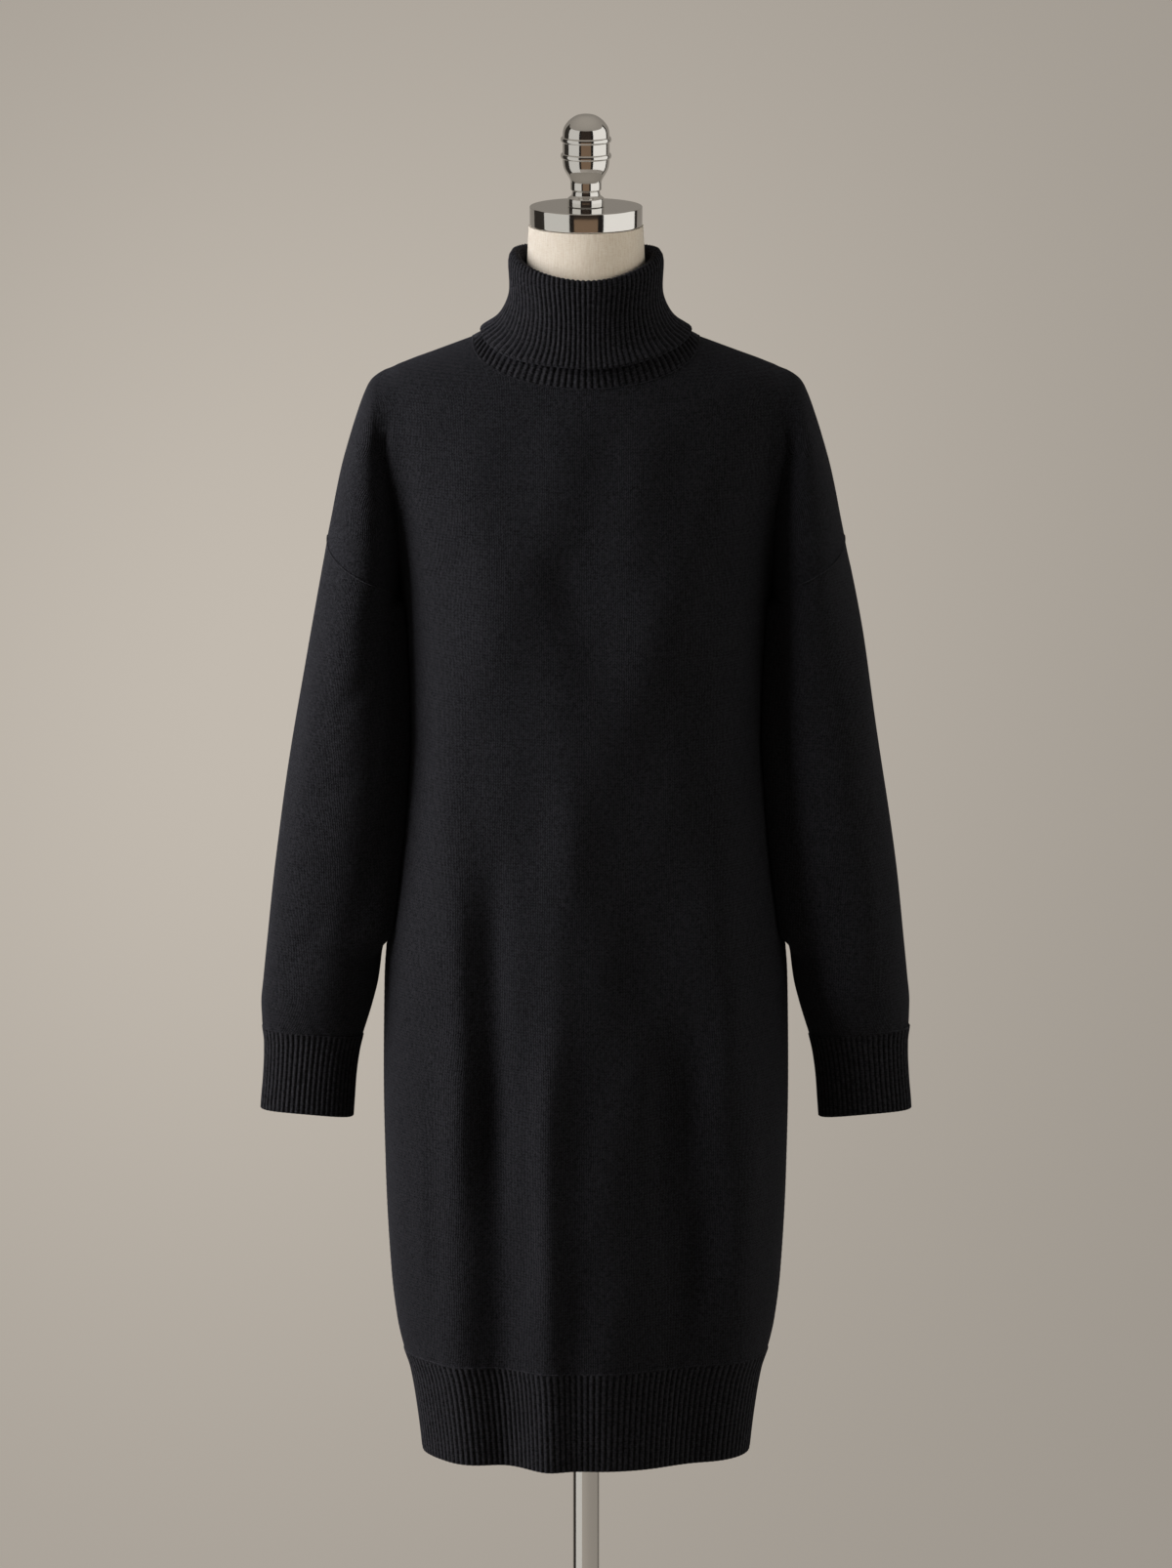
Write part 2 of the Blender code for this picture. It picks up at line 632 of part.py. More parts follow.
def add_sleeve(name, hand):
    angles = np.linspace(0, 2 * math.pi, SLEEVE_COLUMNS, endpoint=False)
    top = drop_seam_z(angles) - SEAM_GAP
    bottom = cuff_z(angles, CUFF_TOP_Z + SEAM_GAP)
    outer, inner = [], []
    for i in range(SLEEVE_ROWS + 1):
        z = top + (bottom - top) * i / SLEEVE_ROWS
        outer.append(handed(arm_ring(angles, z), hand))
        inner.append(handed(arm_ring(angles, z, -CLOTH), hand))
    faces = []
    for i in range(SLEEVE_ROWS):
        for j in range(SLEEVE_COLUMNS):
            one, two = i * SLEEVE_COLUMNS + j, i * SLEEVE_COLUMNS + (j + 1) % SLEEVE_COLUMNS
            faces.append((one, two, two + SLEEVE_COLUMNS, one + SLEEVE_COLUMNS))
    add_wall(name, np.concatenate(outer), np.concatenate(inner), faces, BLACK_KNIT)


def cuff_angles(count):
    """Angles round the wrist that space its points evenly along the cloth."""
    fine = np.linspace(0, 2 * math.pi, 721)
    ring = arm_ring(fine, np.full(len(fine), CUFF_TOP_Z))
    return evenly_read(fine, ring[:, 0], ring[:, 1], count + 1)[:-1]


def add_cuff(name, hand):
    fine = cuff_angles(2 * CUFF_RIBS)
    plain = cuff_angles(CUFF_PLAIN_COLUMNS)
    rise = np.where(np.arange(len(fine)) % 2, RIB_RISE, 0.0)
    levels = [CUFF_TOP_Z, CUFF_END_Z]
    rows = [arm_ring(fine, cuff_z(fine, z), rise) for z in levels]
    rows += [arm_ring(plain, cuff_z(plain, z), -CLOTH) for z in reversed(levels)]
    add_banded(name, [handed(row, hand) for row in rows], BLACK_KNIT, closed=True)


# The roll collar


def neckline():
    """The corners of the panels' neckline all round, with their outward directions. Angle 0 is the front."""
    angles = np.linspace(-math.pi, math.pi, 4 * NECK_COLUMNS + 1)
    face = np.where(np.cos(angles) > -1e-9, FRONT, BACK)
    drop = np.where(face == FRONT, NECK_DROP[FRONT], NECK_DROP[BACK])
    x = NECK_HALF_WIDTH * np.sin(angles)
    z = NECK_SIDE_Z - drop * np.abs(np.cos(angles))
    depth = np.where(face == FRONT, upper_depth(x, z, FRONT), upper_depth(x, z, BACK))
    points = np.stack([x, face * depth, z], axis=1)
    ahead, behind = outward(upper_depth, x, z, FRONT), outward(upper_depth, x, z, BACK)
    normals = np.where((face == FRONT)[:, None], ahead, behind)
    normals[np.abs(np.cos(angles)) < 1e-9, 1] = 0
    return angles, points, normals / np.linalg.norm(normals, axis=1, keepdims=True)


def neck_seam_ring(angles):
    """Points on the straight edges between the neckline's corners, with their outward directions."""
    corners, points, normals = neckline()
    turned = (angles + math.pi) % (2 * math.pi) - math.pi
    ring = [np.interp(turned, corners, points[:, i]) for i in range(3)]
    out = [np.interp(turned, corners, normals[:, i]) for i in range(3)]
    return np.stack(ring, axis=1), np.stack(out, axis=1)


def collar_middle(angles):
    """The middle of the collar's knit as a grid, first the neck seam and then the rows of COLLAR."""
    seam, normal = neck_seam_ring(angles)
    inward = -seam * [1, 1, 0]
    inward -= (inward * normal).sum(axis=1, keepdims=True) * normal
    inward /= np.linalg.norm(inward, axis=1, keepdims=True)
    rows = [seam - normal * COLLAR_CLOTH / 2 + inward * 1.5 * SEAM_GAP]
    to_front = np.clip(np.cos(angles), 0, 1)
    to_back = np.clip(-np.cos(angles), 0, 1)
    for row in COLLAR:
        x = row.side * np.sin(angles)
        y = row.back * to_back - row.front * to_front
        z = row.side_z + (row.front_z - row.side_z) * to_front**1.5
        z = z + (row.back_z - row.side_z) * to_back**1.5
        rows.append(np.stack([x, y, z], axis=1))
    return np.array(rows)


def collar_normals(grid, angles):
    """Directions square to the collar's grid. At the neck seam they are the panels' own."""
    around = np.roll(grid, -1, axis=1) - np.roll(grid, 1, axis=1)
    along = np.gradient(grid, axis=0)
    normal = np.cross(around, along)
    normal /= np.linalg.norm(normal, axis=2, keepdims=True)
    normal[0] = neck_seam_ring(angles)[1]
    return normal


def add_collar(name):
    """Ribs stand up on what shows: the band over the neck seam, the roll and the turned-down outside."""
    fine = np.linspace(0, 2 * math.pi, 2 * COLLAR_RIBS, endpoint=False)
    plain = np.linspace(0, 2 * math.pi, COLLAR_PLAIN_COLUMNS, endpoint=False)
    rise = np.where(np.arange(len(fine)) % 2, RIB_RISE, 0.0)[:, None]
    sides = {}
    for key, angles in (("ribbed", fine), ("plain", plain)):
        grid = collar_middle(angles)
        sides[key] = (grid, collar_normals(grid, angles))
    half = COLLAR_CLOTH / 2
    band_rows = 2
    rows = []
    for i in range(len(COLLAR) + 1):
        grid, normal = sides["ribbed" if i < band_rows else "plain"]
        lift = half + rise if i < band_rows else half
        rows.append(grid[i] + normal[i] * lift)
    for i in reversed(range(len(COLLAR) + 1)):
        ribbed = i >= COLLAR_ROLL_ROW
        grid, normal = sides["ribbed" if ribbed else "plain"]
        lift = half + rise if ribbed else half
        rows.append(grid[i] - normal[i] * lift)
    add_banded(name, rows, BLACK_KNIT, closed=True)


# The dress form and its stand


def form_ring(angles, level):
    """A ring of the form's shoulders, under the cloth's surface at this height."""
    half_width = body_half_width(level) - FORM_SET_IN
    front = body_depth_of[FRONT](level) - FORM_SET_IN
    back = body_depth_of[BACK](level) - FORM_SET_IN
    return section_ring(angles, level - FORM_DROP, half_width, front, back, body_squareness(level))


def section_ring(angles, z, half_width, front, back, squareness):
    """A ring with the section's curve of the tables, at one height."""
    x = half_width * np.sin(angles)
    share = np.abs(np.sin(angles)) ** squareness
    depth = np.where(np.cos(angles) >= 0, -front, back) * np.sqrt(1 - share)
    return [list(point) for point in zip(x, depth, np.full(len(angles), z))]


def add_rings(name, rings, spec):
    """A closed solid through rings of equal counts, with a flat face at each end."""
    count = len(rings[0])
    faces = [tuple(range(count))]
    for i in range(len(rings) - 1):
        for j in range(count):
            one, two = i * count + j, i * count + (j + 1) % count
            faces.append((one, one + count, two + count, two))
    faces.append(tuple(reversed(range(count * (len(rings) - 1), count * len(rings)))))
    points = [point for ring in rings for point in ring]
    return add_solid(name, points, faces, spec)


def add_form(name):
    angles = np.linspace(0, 2 * math.pi, FORM_COLUMNS, endpoint=False)
    rings = [
        section_ring(angles, row.z, row.half_width, row.front, row.back, FORM_SQUARENESS) for row in FORM
    ]
    rings += [form_ring(angles, level) for level in FORM_SHOULDER_LEVELS]
    rings += [section_ring(angles, row.z, row.radius, row.radius, row.radius, 2) for row in FORM_NECK]
    add_rings(name, rings, LINEN)


def add_turned(name, profile, columns, spec):
    """A solid turned about the z axis, through (radius, height) points."""
    angles = np.linspace(0, 2 * math.pi, columns, endpoint=False)
    rings = [
        [[radius * math.cos(angle), radius * math.sin(angle), z] for angle in angles]
        for radius, z in profile
    ]
    return add_rings(name, rings, spec)


def add_stand():
    inner_cap = CAP_RADIUS - CAP_BEVEL
    add_turned(
        "neck_cap",
        [
            (inner_cap, CAP_BOTTOM_Z),
            (CAP_RADIUS, CAP_BOTTOM_Z + CAP_BEVEL),
            (CAP_RADIUS, CAP_TOP_Z - CAP_BEVEL),
            (inner_cap, CAP_TOP_Z),
        ],
        BASE_COLUMNS,
        CHROME,
    )
    finial = [(radius, CAP_TOP_Z + height) for radius, height in FINIAL_PROFILE]
    add_turned("finial", finial, TURNED_COLUMNS, CHROME)
    low, high = BASE_BOSS_TOP_Z + SEAM_GAP, FORM[0].z - SEAM_GAP
    add_turned("pole", [(POLE_RADIUS, low), (POLE_RADIUS, high)], TURNED_COLUMNS, CHROME)
    boss = [(BASE_BOSS_RADIUS, BASE_BOSS_TOP_Z)]
    add_turned("base", BASE_PROFILE + boss, BASE_COLUMNS, CHROME)


def main():
    clear_scene()
    add_panel("front_panel", FRONT)
    add_panel("back_panel", BACK)
    add_hem_rib("front_hem_rib", FRONT)
    add_hem_rib("back_hem_rib", BACK)
    for side, hand in (("right", RIGHT_HAND), ("left", LEFT_HAND)):
        add_sleeve(f"{side}_sleeve", hand)
        add_cuff(f"{side}_cuff", hand)
    add_collar("roll_collar")
    add_form("form_torso")
    add_stand()


main()
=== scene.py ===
"""The looks of a roll-neck sweater dress of black knit, worn by a limbless dress form on a stand.

Metres, +Z up, front towards -Y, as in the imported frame. Heights are above the floor, widths are from
the middle line x = 0, and depths are from the plane y = 0, in which the side seams lie. The garment's
outer surface is the solids' own, on a finer grid, with smaller creases added and with the sleeves
resting against the body.
"""

import math
from collections import namedtuple
from functools import partial

import bpy
import numpy as np
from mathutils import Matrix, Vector


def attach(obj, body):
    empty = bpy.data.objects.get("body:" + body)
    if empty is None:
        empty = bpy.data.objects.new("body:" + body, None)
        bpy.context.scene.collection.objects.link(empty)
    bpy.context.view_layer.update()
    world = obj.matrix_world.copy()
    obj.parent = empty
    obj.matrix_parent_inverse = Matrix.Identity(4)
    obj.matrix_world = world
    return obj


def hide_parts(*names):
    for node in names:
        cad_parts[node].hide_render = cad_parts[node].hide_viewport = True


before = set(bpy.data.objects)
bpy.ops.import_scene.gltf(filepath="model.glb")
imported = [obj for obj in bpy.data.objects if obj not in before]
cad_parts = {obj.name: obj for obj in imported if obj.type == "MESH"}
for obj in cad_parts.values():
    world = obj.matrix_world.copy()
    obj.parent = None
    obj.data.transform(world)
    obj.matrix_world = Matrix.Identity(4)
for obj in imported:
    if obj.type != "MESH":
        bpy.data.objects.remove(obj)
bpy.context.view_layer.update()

FRONT, BACK = -1, 1
SIDES = (("right", -1), ("left", 1))


def table(fields, rows):
    """Rows of values with named columns."""
    Row = namedtuple("Row", fields)
    return [Row(*row) for row in rows]


# The garment's sizes, as in its solids

CLOTH = 0.0020
COLLAR_CLOTH = 0.0022
SEAM_GAP = 0.0003

HEM_Z = 0.4265
HEM_RIB_TOP_Z = 0.518
UNDERARM_Z = 1.190
DROP_SEAM_OUTER_Z = 1.243
SHOULDER_CORNER_Z = 1.335
NECK_SIDE_Z = 1.4172
NECK_HALF_WIDTH = 0.0975
NECK_DROP = {FRONT: 0.0322, BACK: 0.0080}

# The body's outer surface: half its width, and how far its front and back lie from the side seams.
# Squareness is the exponent of the section's curve, 2 for an ellipse.
BODY = table("z half_width front back squareness", [
    (1.4300, 0.0660, 0.0600, 0.0560, 1.5),
    (1.4214, 0.0870, 0.0640, 0.0590, 1.5),
    (1.4172, 0.0975, 0.0660, 0.0610, 1.5),
    (1.4129, 0.1091, 0.0682, 0.0635, 1.5),
    (1.4043, 0.1321, 0.0730, 0.0685, 1.5),
    (1.3958, 0.1549, 0.0778, 0.0735, 1.55),
    (1.3873, 0.1735, 0.0828, 0.0785, 1.6),
    (1.3787, 0.1815, 0.0868, 0.0825, 1.7),
    (1.3600, 0.1840, 0.0935, 0.0895, 1.9),
    (1.3300, 0.1815, 0.1010, 0.0970, 2.1),
    (1.3000, 0.1755, 0.1060, 0.1020, 2.3),
    (1.2700, 0.1695, 0.1095, 0.1040, 2.4),
    (1.2400, 0.1655, 0.1120, 0.1035, 2.4),
    (1.1900, 0.1605, 0.1135, 0.1010, 2.4),
    (1.1545, 0.1583, 0.1130, 0.0990, 2.4),
    (1.1100, 0.1563, 0.1115, 0.0970, 2.4),
    (1.0690, 0.1558, 0.1095, 0.0965, 2.4),
    (1.0256, 0.1585, 0.1080, 0.0975, 2.4),
    (0.9822, 0.1621, 0.1070, 0.1000, 2.4),
    (0.9387, 0.1669, 0.1065, 0.1025, 2.4),
    (0.8952, 0.1726, 0.1060, 0.1045, 2.4),
    (0.8515, 0.1758, 0.1058, 0.1050, 2.4),
    (0.7640, 0.1768, 0.1055, 0.1045, 2.4),
    (0.6763, 0.1752, 0.1050, 0.1030, 2.4),
    (0.5882, 0.1706, 0.1015, 0.0990, 2.4),
    (0.5440, 0.1654, 0.0970, 0.0950, 2.35),
    (0.5219, 0.1605, 0.0935, 0.0915, 2.3),
    (0.4998, 0.1535, 0.0890, 0.0875, 2.3),
    (0.4554, 0.1464, 0.0825, 0.0820, 2.3),
    (0.4250, 0.1430, 0.0790, 0.0790, 2.3),
])

# The sleeve's outer surface, from the shoulder down: its outer and inner side and half its depth
ARM = table("z outer inner depth", [
    (1.3925, 0.1625, 0.1540, 0.0000),
    (1.3873, 0.1751, 0.1590, 0.0160),
    (1.3787, 0.1862, 0.1650, 0.0270),
    (1.3701, 0.1908, 0.1680, 0.0345),
    (1.3488, 0.1985, 0.1715, 0.0450),
    (1.3273, 0.2051, 0.1710, 0.0520),
    (1.3059, 0.2110, 0.1670, 0.0570),
    (1.2845, 0.2157, 0.1640, 0.0610),
    (1.2630, 0.2198, 0.1620, 0.0640),
    (1.2415, 0.2240, 0.1608, 0.0660),
    (1.2200, 0.2275, 0.1603, 0.0675),
    (1.1900, 0.2332, 0.1605, 0.0685),
    (1.1554, 0.2397, 0.1600, 0.0685),
    (1.1122, 0.2471, 0.1585, 0.0675),
    (1.0689, 0.2540, 0.1580, 0.0655),
    (1.0256, 0.2601, 0.1605, 0.0630),
    (0.9822, 0.2658, 0.1642, 0.0600),
    (0.9387, 0.2715, 0.1692, 0.0570),
    (0.8952, 0.2766, 0.1752, 0.0540),
    (0.8515, 0.2815, 0.1803, 0.0505),
    (0.8297, 0.2836, 0.1855, 0.0440),
    (0.8120, 0.2830, 0.1908, 0.0375),
    (0.8035, 0.2818, 0.1935, 0.0325),
    (0.7940, 0.2808, 0.1960, 0.0300),
    (0.7859, 0.2808, 0.1978, 0.0290),
    (0.7640, 0.2818, 0.2008, 0.0278),
    (0.7421, 0.2837, 0.2024, 0.0270),
    (0.7200, 0.2850, 0.2040, 0.0270),
])
ARM_TOP_Z = ARM[0].z

# How far out the cloth hangs across the valley between body and sleeve, above the armpit
VALLEY = table("z x depth", [
    (1.1900, 0.1600, 0.0000),
    (1.2150, 0.1610, 0.0180),
    (1.2500, 0.1630, 0.0330),
    (1.2900, 0.1660, 0.0420),
    (1.3300, 0.1700, 0.0460),
    (1.3600, 0.1720, 0.0410),
    (1.3787, 0.1700, 0.0300),
    (1.3925, 0.1600, 0.0120),
    (1.4000, 0.1500, 0.0000),
])
VALLEY_WIDTH, VALLEY_SQUARENESS = 0.021, 8

SLEEVE_CLEARANCE = 0.0006
CUFF_TOP_Z = 0.8035
CUFF_END_Z = 0.7305
CUFF_TILT = 0.087
CUFF_ARCH = 0.003

# Soft folds of the body, each a ridge or, with a negative rise, a trough. Each starts at z_top and has
# its whole rise from z_full down, and its middle line moves from x_top to x_hem.
FOLD_FIELDS = "x_top x_hem width rise z_top z_full"
FOLDS = {
    FRONT: table(FOLD_FIELDS, [
        (-0.120, -0.116, 0.019, 0.0080, 1.22, 0.98),
        (-0.084, -0.072, 0.019, -0.0090, 1.08, 0.70),
        (-0.020, -0.034, 0.018, 0.0110, 1.12, 0.62),
        (0.006, 0.012, 0.026, 0.0065, 1.06, 0.50),
        (0.064, 0.098, 0.027, -0.0085, 1.10, 0.74),
        (0.112, 0.148, 0.018, 0.0080, 1.16, 0.80),
    ]),
    BACK: table(FOLD_FIELDS, [
        (-0.118, -0.132, 0.024, 0.0060, 1.16, 0.80),
        (-0.058, -0.072, 0.028, -0.0070, 1.08, 0.66),
        (0.000, -0.012, 0.026, 0.0085, 1.12, 0.58),
        (0.066, 0.060, 0.028, -0.0060, 1.06, 0.74),
        (0.116, 0.130, 0.022, 0.0060, 1.18, 0.82),
    ]),
}

# The cloth over the form's bust: two soft mounds
BUST_X, BUST_Z = 0.074, 1.185
BUST_WIDTH, BUST_HEIGHT, BUST_RISE = 0.046, 0.062, 0.0085

# The collar's knit, from the neck seam up inside, over the roll and down outside to its free edge.
# Each row is the middle of the cloth at the sides, the front and the back, as distance out and height.
COLLAR = table("side side_z front front_z back back_z", [
    (0.0850, 1.4226, 0.0790, 1.3990, 0.0700, 1.4168),
    (0.0700, 1.4300, 0.0728, 1.4120, 0.0655, 1.4255),
    (0.0612, 1.4430, 0.0648, 1.4300, 0.0610, 1.4400),
    (0.0588, 1.4620, 0.0604, 1.4480, 0.0590, 1.4600),
    (0.0578, 1.4830, 0.0580, 1.4660, 0.0575, 1.4810),
    (0.0612, 1.4925, 0.0612, 1.4755, 0.0605, 1.4905),
    (0.0652, 1.4850, 0.0650, 1.4680, 0.0645, 1.4830),
    (0.0648, 1.4560, 0.0668, 1.4420, 0.0655, 1.4550),
    (0.0748, 1.4350, 0.0745, 1.4180, 0.0728, 1.4330),
    (0.0912, 1.4236, 0.0866, 1.4024, 0.0840, 1.4200),
])

# The dress form below its shoulders, a general figure
FORM = table("z half_width front back", [
    (0.7600, 0.1480, 0.0800, 0.0930),
    (0.8100, 0.1600, 0.0850, 0.0985),
    (0.8750, 0.1655, 0.0880, 0.0995),
    (0.9400, 0.1560, 0.0860, 0.0940),
    (1.0100, 0.1330, 0.0790, 0.0830),
    (1.0650, 0.1210, 0.0760, 0.0760),
    (1.1200, 0.1290, 0.0860, 0.0800),
    (1.1750, 0.1420, 0.1050, 0.0880),
    (1.2200, 0.1500, 0.1055, 0.0940),
    (1.2600, 0.1580, 0.1030, 0.0970),
])
FORM_SHOULDER_LEVELS = [1.300, 1.335, 1.360, 1.378, 1.390, 1.399, 1.407, 1.4135, 1.4214, 1.4290]
FORM_DROP = 0.0040
FORM_SET_IN = 0.0027
FORM_SQUARENESS = 2.2
FORM_NECK = table("z radius", [
    (1.4400, 0.0545),
    (1.4726, 0.0515),
    (1.5144, 0.0494),
])


# Curves through the tables


def curve(rows, column):
    """A smooth curve through one column of a table, as a function of the height z.

    Its slope at each row is the harmonic mean of the slopes on either side, so it never overshoots.
    """
    pairs = sorted((row.z, getattr(row, column)) for row in rows)
    at, value = np.array(pairs).T
    steps = np.diff(at)
    slopes = np.diff(value) / steps
    tangents = np.concatenate([slopes[:1], np.zeros(len(at) - 2), slopes[-1:]])
    before, after = slopes[:-1], slopes[1:]
    same_way = before * after > 0
    tangents[1:-1][same_way] = 2 * (before * after)[same_way] / (before + after)[same_way]

    def read(where):
        where = np.clip(where, at[0], at[-1])
        i = np.clip(np.searchsorted(at, where) - 1, 0, len(at) - 2)
        t = (where - at[i]) / steps[i]
        low = (1 + 2 * t) * (1 - t) ** 2 * value[i] + t * (1 - t) ** 2 * steps[i] * tangents[i]
        high = (3 - 2 * t) * t**2 * value[i + 1] - (1 - t) * t**2 * steps[i] * tangents[i + 1]
        return low + high

    return read


body_half_width = curve(BODY, "half_width")
body_depth_of = {FRONT: curve(BODY, "front"), BACK: curve(BODY, "back")}
body_squareness = curve(BODY, "squareness")
arm_outer = curve(ARM, "outer")
arm_inner = curve(ARM, "inner")
arm_half_depth = curve(ARM, "depth")
valley_x = curve(VALLEY, "x")
valley_depth_at = curve(VALLEY, "depth")


def smooth_step(t):
    t = np.clip(t, 0, 1)
    return t * t * (3 - 2 * t)


def in_columns(*values):
    """Rows of points, from what they have in each column."""
    return np.stack(values, axis=1)


def full_turn(count):
    """That many angles, evenly round."""
    return np.linspace(0, 2 * math.pi, count, endpoint=False)


def unit(vectors):
    """The vectors at length 1. Each lies along the last axis."""
    return vectors / np.linalg.norm(vectors, axis=-1, keepdims=True)


def spline_point(four, t):
    """The point at a share t of the way from the second to the third of four, on a smooth curve."""
    p0, p1, p2, p3 = four
    bend = (2 * p0 - 5 * p1 + 4 * p2 - p3) * t**2 + (3 * p1 - p0 - 3 * p2 + p3) * t**3
    return (2 * p1 + (p2 - p0) * t + bend) / 2


# Smaller creases, which only the looks need

# Soft creases along lines, each a ridge or, with a negative rise, a trough: x_from, z_from, x_to, z_to,
# width, rise and bow. They fade out at both ends, and the bow is how far the middle of the line stands
# off the straight one.
CREASES = {
    FRONT: [
        (0.004, 1.300, -0.006, 1.100, 0.028, -0.0050, 0.004),
        (-0.030, 1.262, -0.004, 1.170, 0.016, -0.0034, 0.002),
        (-0.078, 1.180, -0.112, 1.345, 0.022, 0.0016, -0.006),
        (0.076, 1.175, 0.106, 1.350, 0.020, 0.0014, 0.007),
        (-0.148, 1.205, -0.088, 1.262, 0.010, -0.0018, 0.004),
        (-0.150, 1.165, -0.082, 1.192, 0.009, -0.0014, -0.003),
        (0.150, 1.200, 0.096, 1.250, 0.010, -0.0018, -0.005),
        (-0.028, 1.100, 0.006, 0.840, 0.018, 0.0028, -0.004),
        (0.040, 1.000, 0.056, 0.780, 0.018, -0.0030, 0.004),
        (-0.124, 1.080, -0.132, 0.790, 0.013, 0.0026, 0.003),
        (-0.114, 1.030, -0.112, 0.590, 0.012, 0.0046, -0.003),
        (-0.080, 1.030, -0.076, 0.570, 0.012, -0.0058, 0.002),
        (-0.036, 0.860, -0.033, 0.525, 0.011, 0.0046, 0.002),
        (0.086, 0.900, 0.096, 0.520, 0.022, -0.0072, 0.003),
        (0.064, 0.860, 0.069, 0.560, 0.009, -0.0026, 0.002),
        (0.146, 0.820, 0.148, 0.580, 0.012, 0.0042, -0.002),
        (-0.147, 0.800, -0.141, 0.545, 0.007, 0.0024, 0.001),
        (-0.131, 0.740, -0.127, 0.560, 0.007, -0.0014, 0.001),
        (0.112, 0.700, 0.104, 0.540, 0.010, -0.0012, -0.002),
    ],
    BACK: [
        (0.000, 1.330, 0.004, 1.130, 0.040, -0.0026, 0.003),
        (-0.148, 1.205, -0.084, 1.275, 0.011, -0.0016, 0.005),
        (0.150, 1.208, 0.080, 1.268, 0.011, -0.0018, -0.005),
        (-0.088, 1.170, -0.050, 1.010, 0.016, 0.0016, 0.006),
        (0.084, 1.150, 0.040, 0.990, 0.015, 0.0018, -0.005),
        (-0.100, 0.930, -0.104, 0.650, 0.012, -0.0015, 0.003),
        (0.032, 0.900, 0.026, 0.590, 0.012, -0.0015, -0.003),
        (0.094, 0.860, 0.100, 0.600, 0.011, 0.0014, 0.004),
    ],
}
# The creases of the sleeves, with the angle round the sleeve in degrees in place of x: 0 is its outer
# side, 90 its back and -90 its front
SLEEVE_CREASES = {
    "right": [
        (-128, 1.150, -60, 1.085, 0.011, -0.0018, 0.003),
        (-120, 1.045, -35, 1.005, 0.010, -0.0016, -0.003),
        (-112, 0.985, -20, 0.965, 0.009, 0.0013, 0.002),
        (-95, 0.930, -40, 0.850, 0.009, -0.0012, 0.002),
        (-30, 1.170, -55, 0.950, 0.016, 0.0018, 0.004),
        (120, 1.120, 50, 1.060, 0.011, -0.0017, -0.003),
        (110, 1.010, 40, 0.980, 0.010, -0.0015, 0.003),
        (75, 0.940, 60, 0.850, 0.010, 0.0013, 0.002),
    ],
    "left": [
        (-126, 1.140, -55, 1.090, 0.011, -0.0017, -0.003),
        (-116, 1.030, -42, 1.000, 0.010, -0.0015, 0.003),
        (-60, 1.000, -70, 0.860, 0.012, 0.0016, -0.003),
        (-100, 0.915, -30, 0.890, 0.009, -0.0012, 0.002),
        (-25, 1.180, -40, 1.030, 0.015, 0.0014, 0.003),
        (122, 1.130, 46, 1.075, 0.011, -0.0018, 0.003),
        (105, 0.995, 30, 0.970, 0.010, -0.0014, -0.003),
        (80, 0.930, 66, 0.845, 0.010, 0.0012, 0.002),
    ],
}
# Slow unevenness of the whole cloth, as crossing waves: their number, lengths and rise, how far they are
# turned from upright at most, how fast they change upwards against across, and a seed for each piece
UNEVEN_WAVES = 9
UNEVEN_SHORTEST, UNEVEN_LONGEST = 0.055, 0.150
UNEVEN_RISE = 0.00042
UNEVEN_TURN, UNEVEN_FLATNESS = 0.9, 0.55
UNEVEN_SEEDS = {FRONT: 11, BACK: 12, "right": 21, "left": 22}
# The share of a crease's length over which it fades at each end
CREASE_TAPER = 0.35
# The share of the half width over which they all fade towards the side seams
SIDE_FADE = 0.22
# Above this height the cloth is as smooth as its solid, because it lies on the form's shoulders.
SMOOTH_FROM_Z, SMOOTH_BAND = 1.385, 0.060
# Small gathers just above a ribbed band, which holds the cloth in
GATHER_PITCH, GATHER_RISE, GATHER_LENGTH = 0.0125, 0.0005, 0.014


def crease_lift(x, z, x0, z0, x1, z1, width, rise, bow):
    """How far one crease, from (x0, z0) to (x1, z1), lifts the cloth at (x, z)."""
    length = math.hypot(x1 - x0, z1 - z0)
    dx, dz = (x1 - x0) / length, (z1 - z0) / length
    t = ((x - x0) * dx + (z - z0) * dz) / length
    off = (x - x0) * dz - (z - z0) * dx - bow * 4 * t * (1 - t)
    taper = smooth_step(t / CREASE_TAPER) * smooth_step((1 - t) / CREASE_TAPER)
    return rise * taper * np.exp(-((off / width) ** 2))


def uneven(x, z, seed):
    """Slow waves across the cloth, the same each run."""
    made = np.random.default_rng(seed)
    total = 0.0
    for _ in range(UNEVEN_WAVES):
        length = made.uniform(UNEVEN_SHORTEST, UNEVEN_LONGEST)
        heading, phase = made.uniform(-UNEVEN_TURN, UNEVEN_TURN), made.uniform(0, 2 * math.pi)
        wave = (x * math.cos(heading) + z * UNEVEN_FLATNESS * math.sin(heading)) / length
        total = total + np.sin(2 * math.pi * wave + phase)
    return UNEVEN_RISE * total


def body_relief(x, z, face):
    """What the creases and the unevenness add to the body's depth. It ends before the side seams."""
    total = uneven(x, z, UNEVEN_SEEDS[face])
    for crease in CREASES[face]:
        total = total + crease_lift(x, z, *crease)
    share = np.clip(np.abs(x) / body_half_width(z), 0, 1)
    inside = smooth_step((1 - share) / SIDE_FADE) * smooth_step((SMOOTH_FROM_Z - z) / SMOOTH_BAND)
    gather = np.exp(-(np.clip(z - HEM_RIB_TOP_Z, 0, 1) / GATHER_LENGTH) ** 2)
    gather = gather * np.where(z < HEM_RIB_TOP_Z, 0, GATHER_RISE)
    return inside * (total + gather * np.cos(2 * math.pi * x / GATHER_PITCH))


# The garment's outer surface: its depth in front of or behind the plane of the side seams


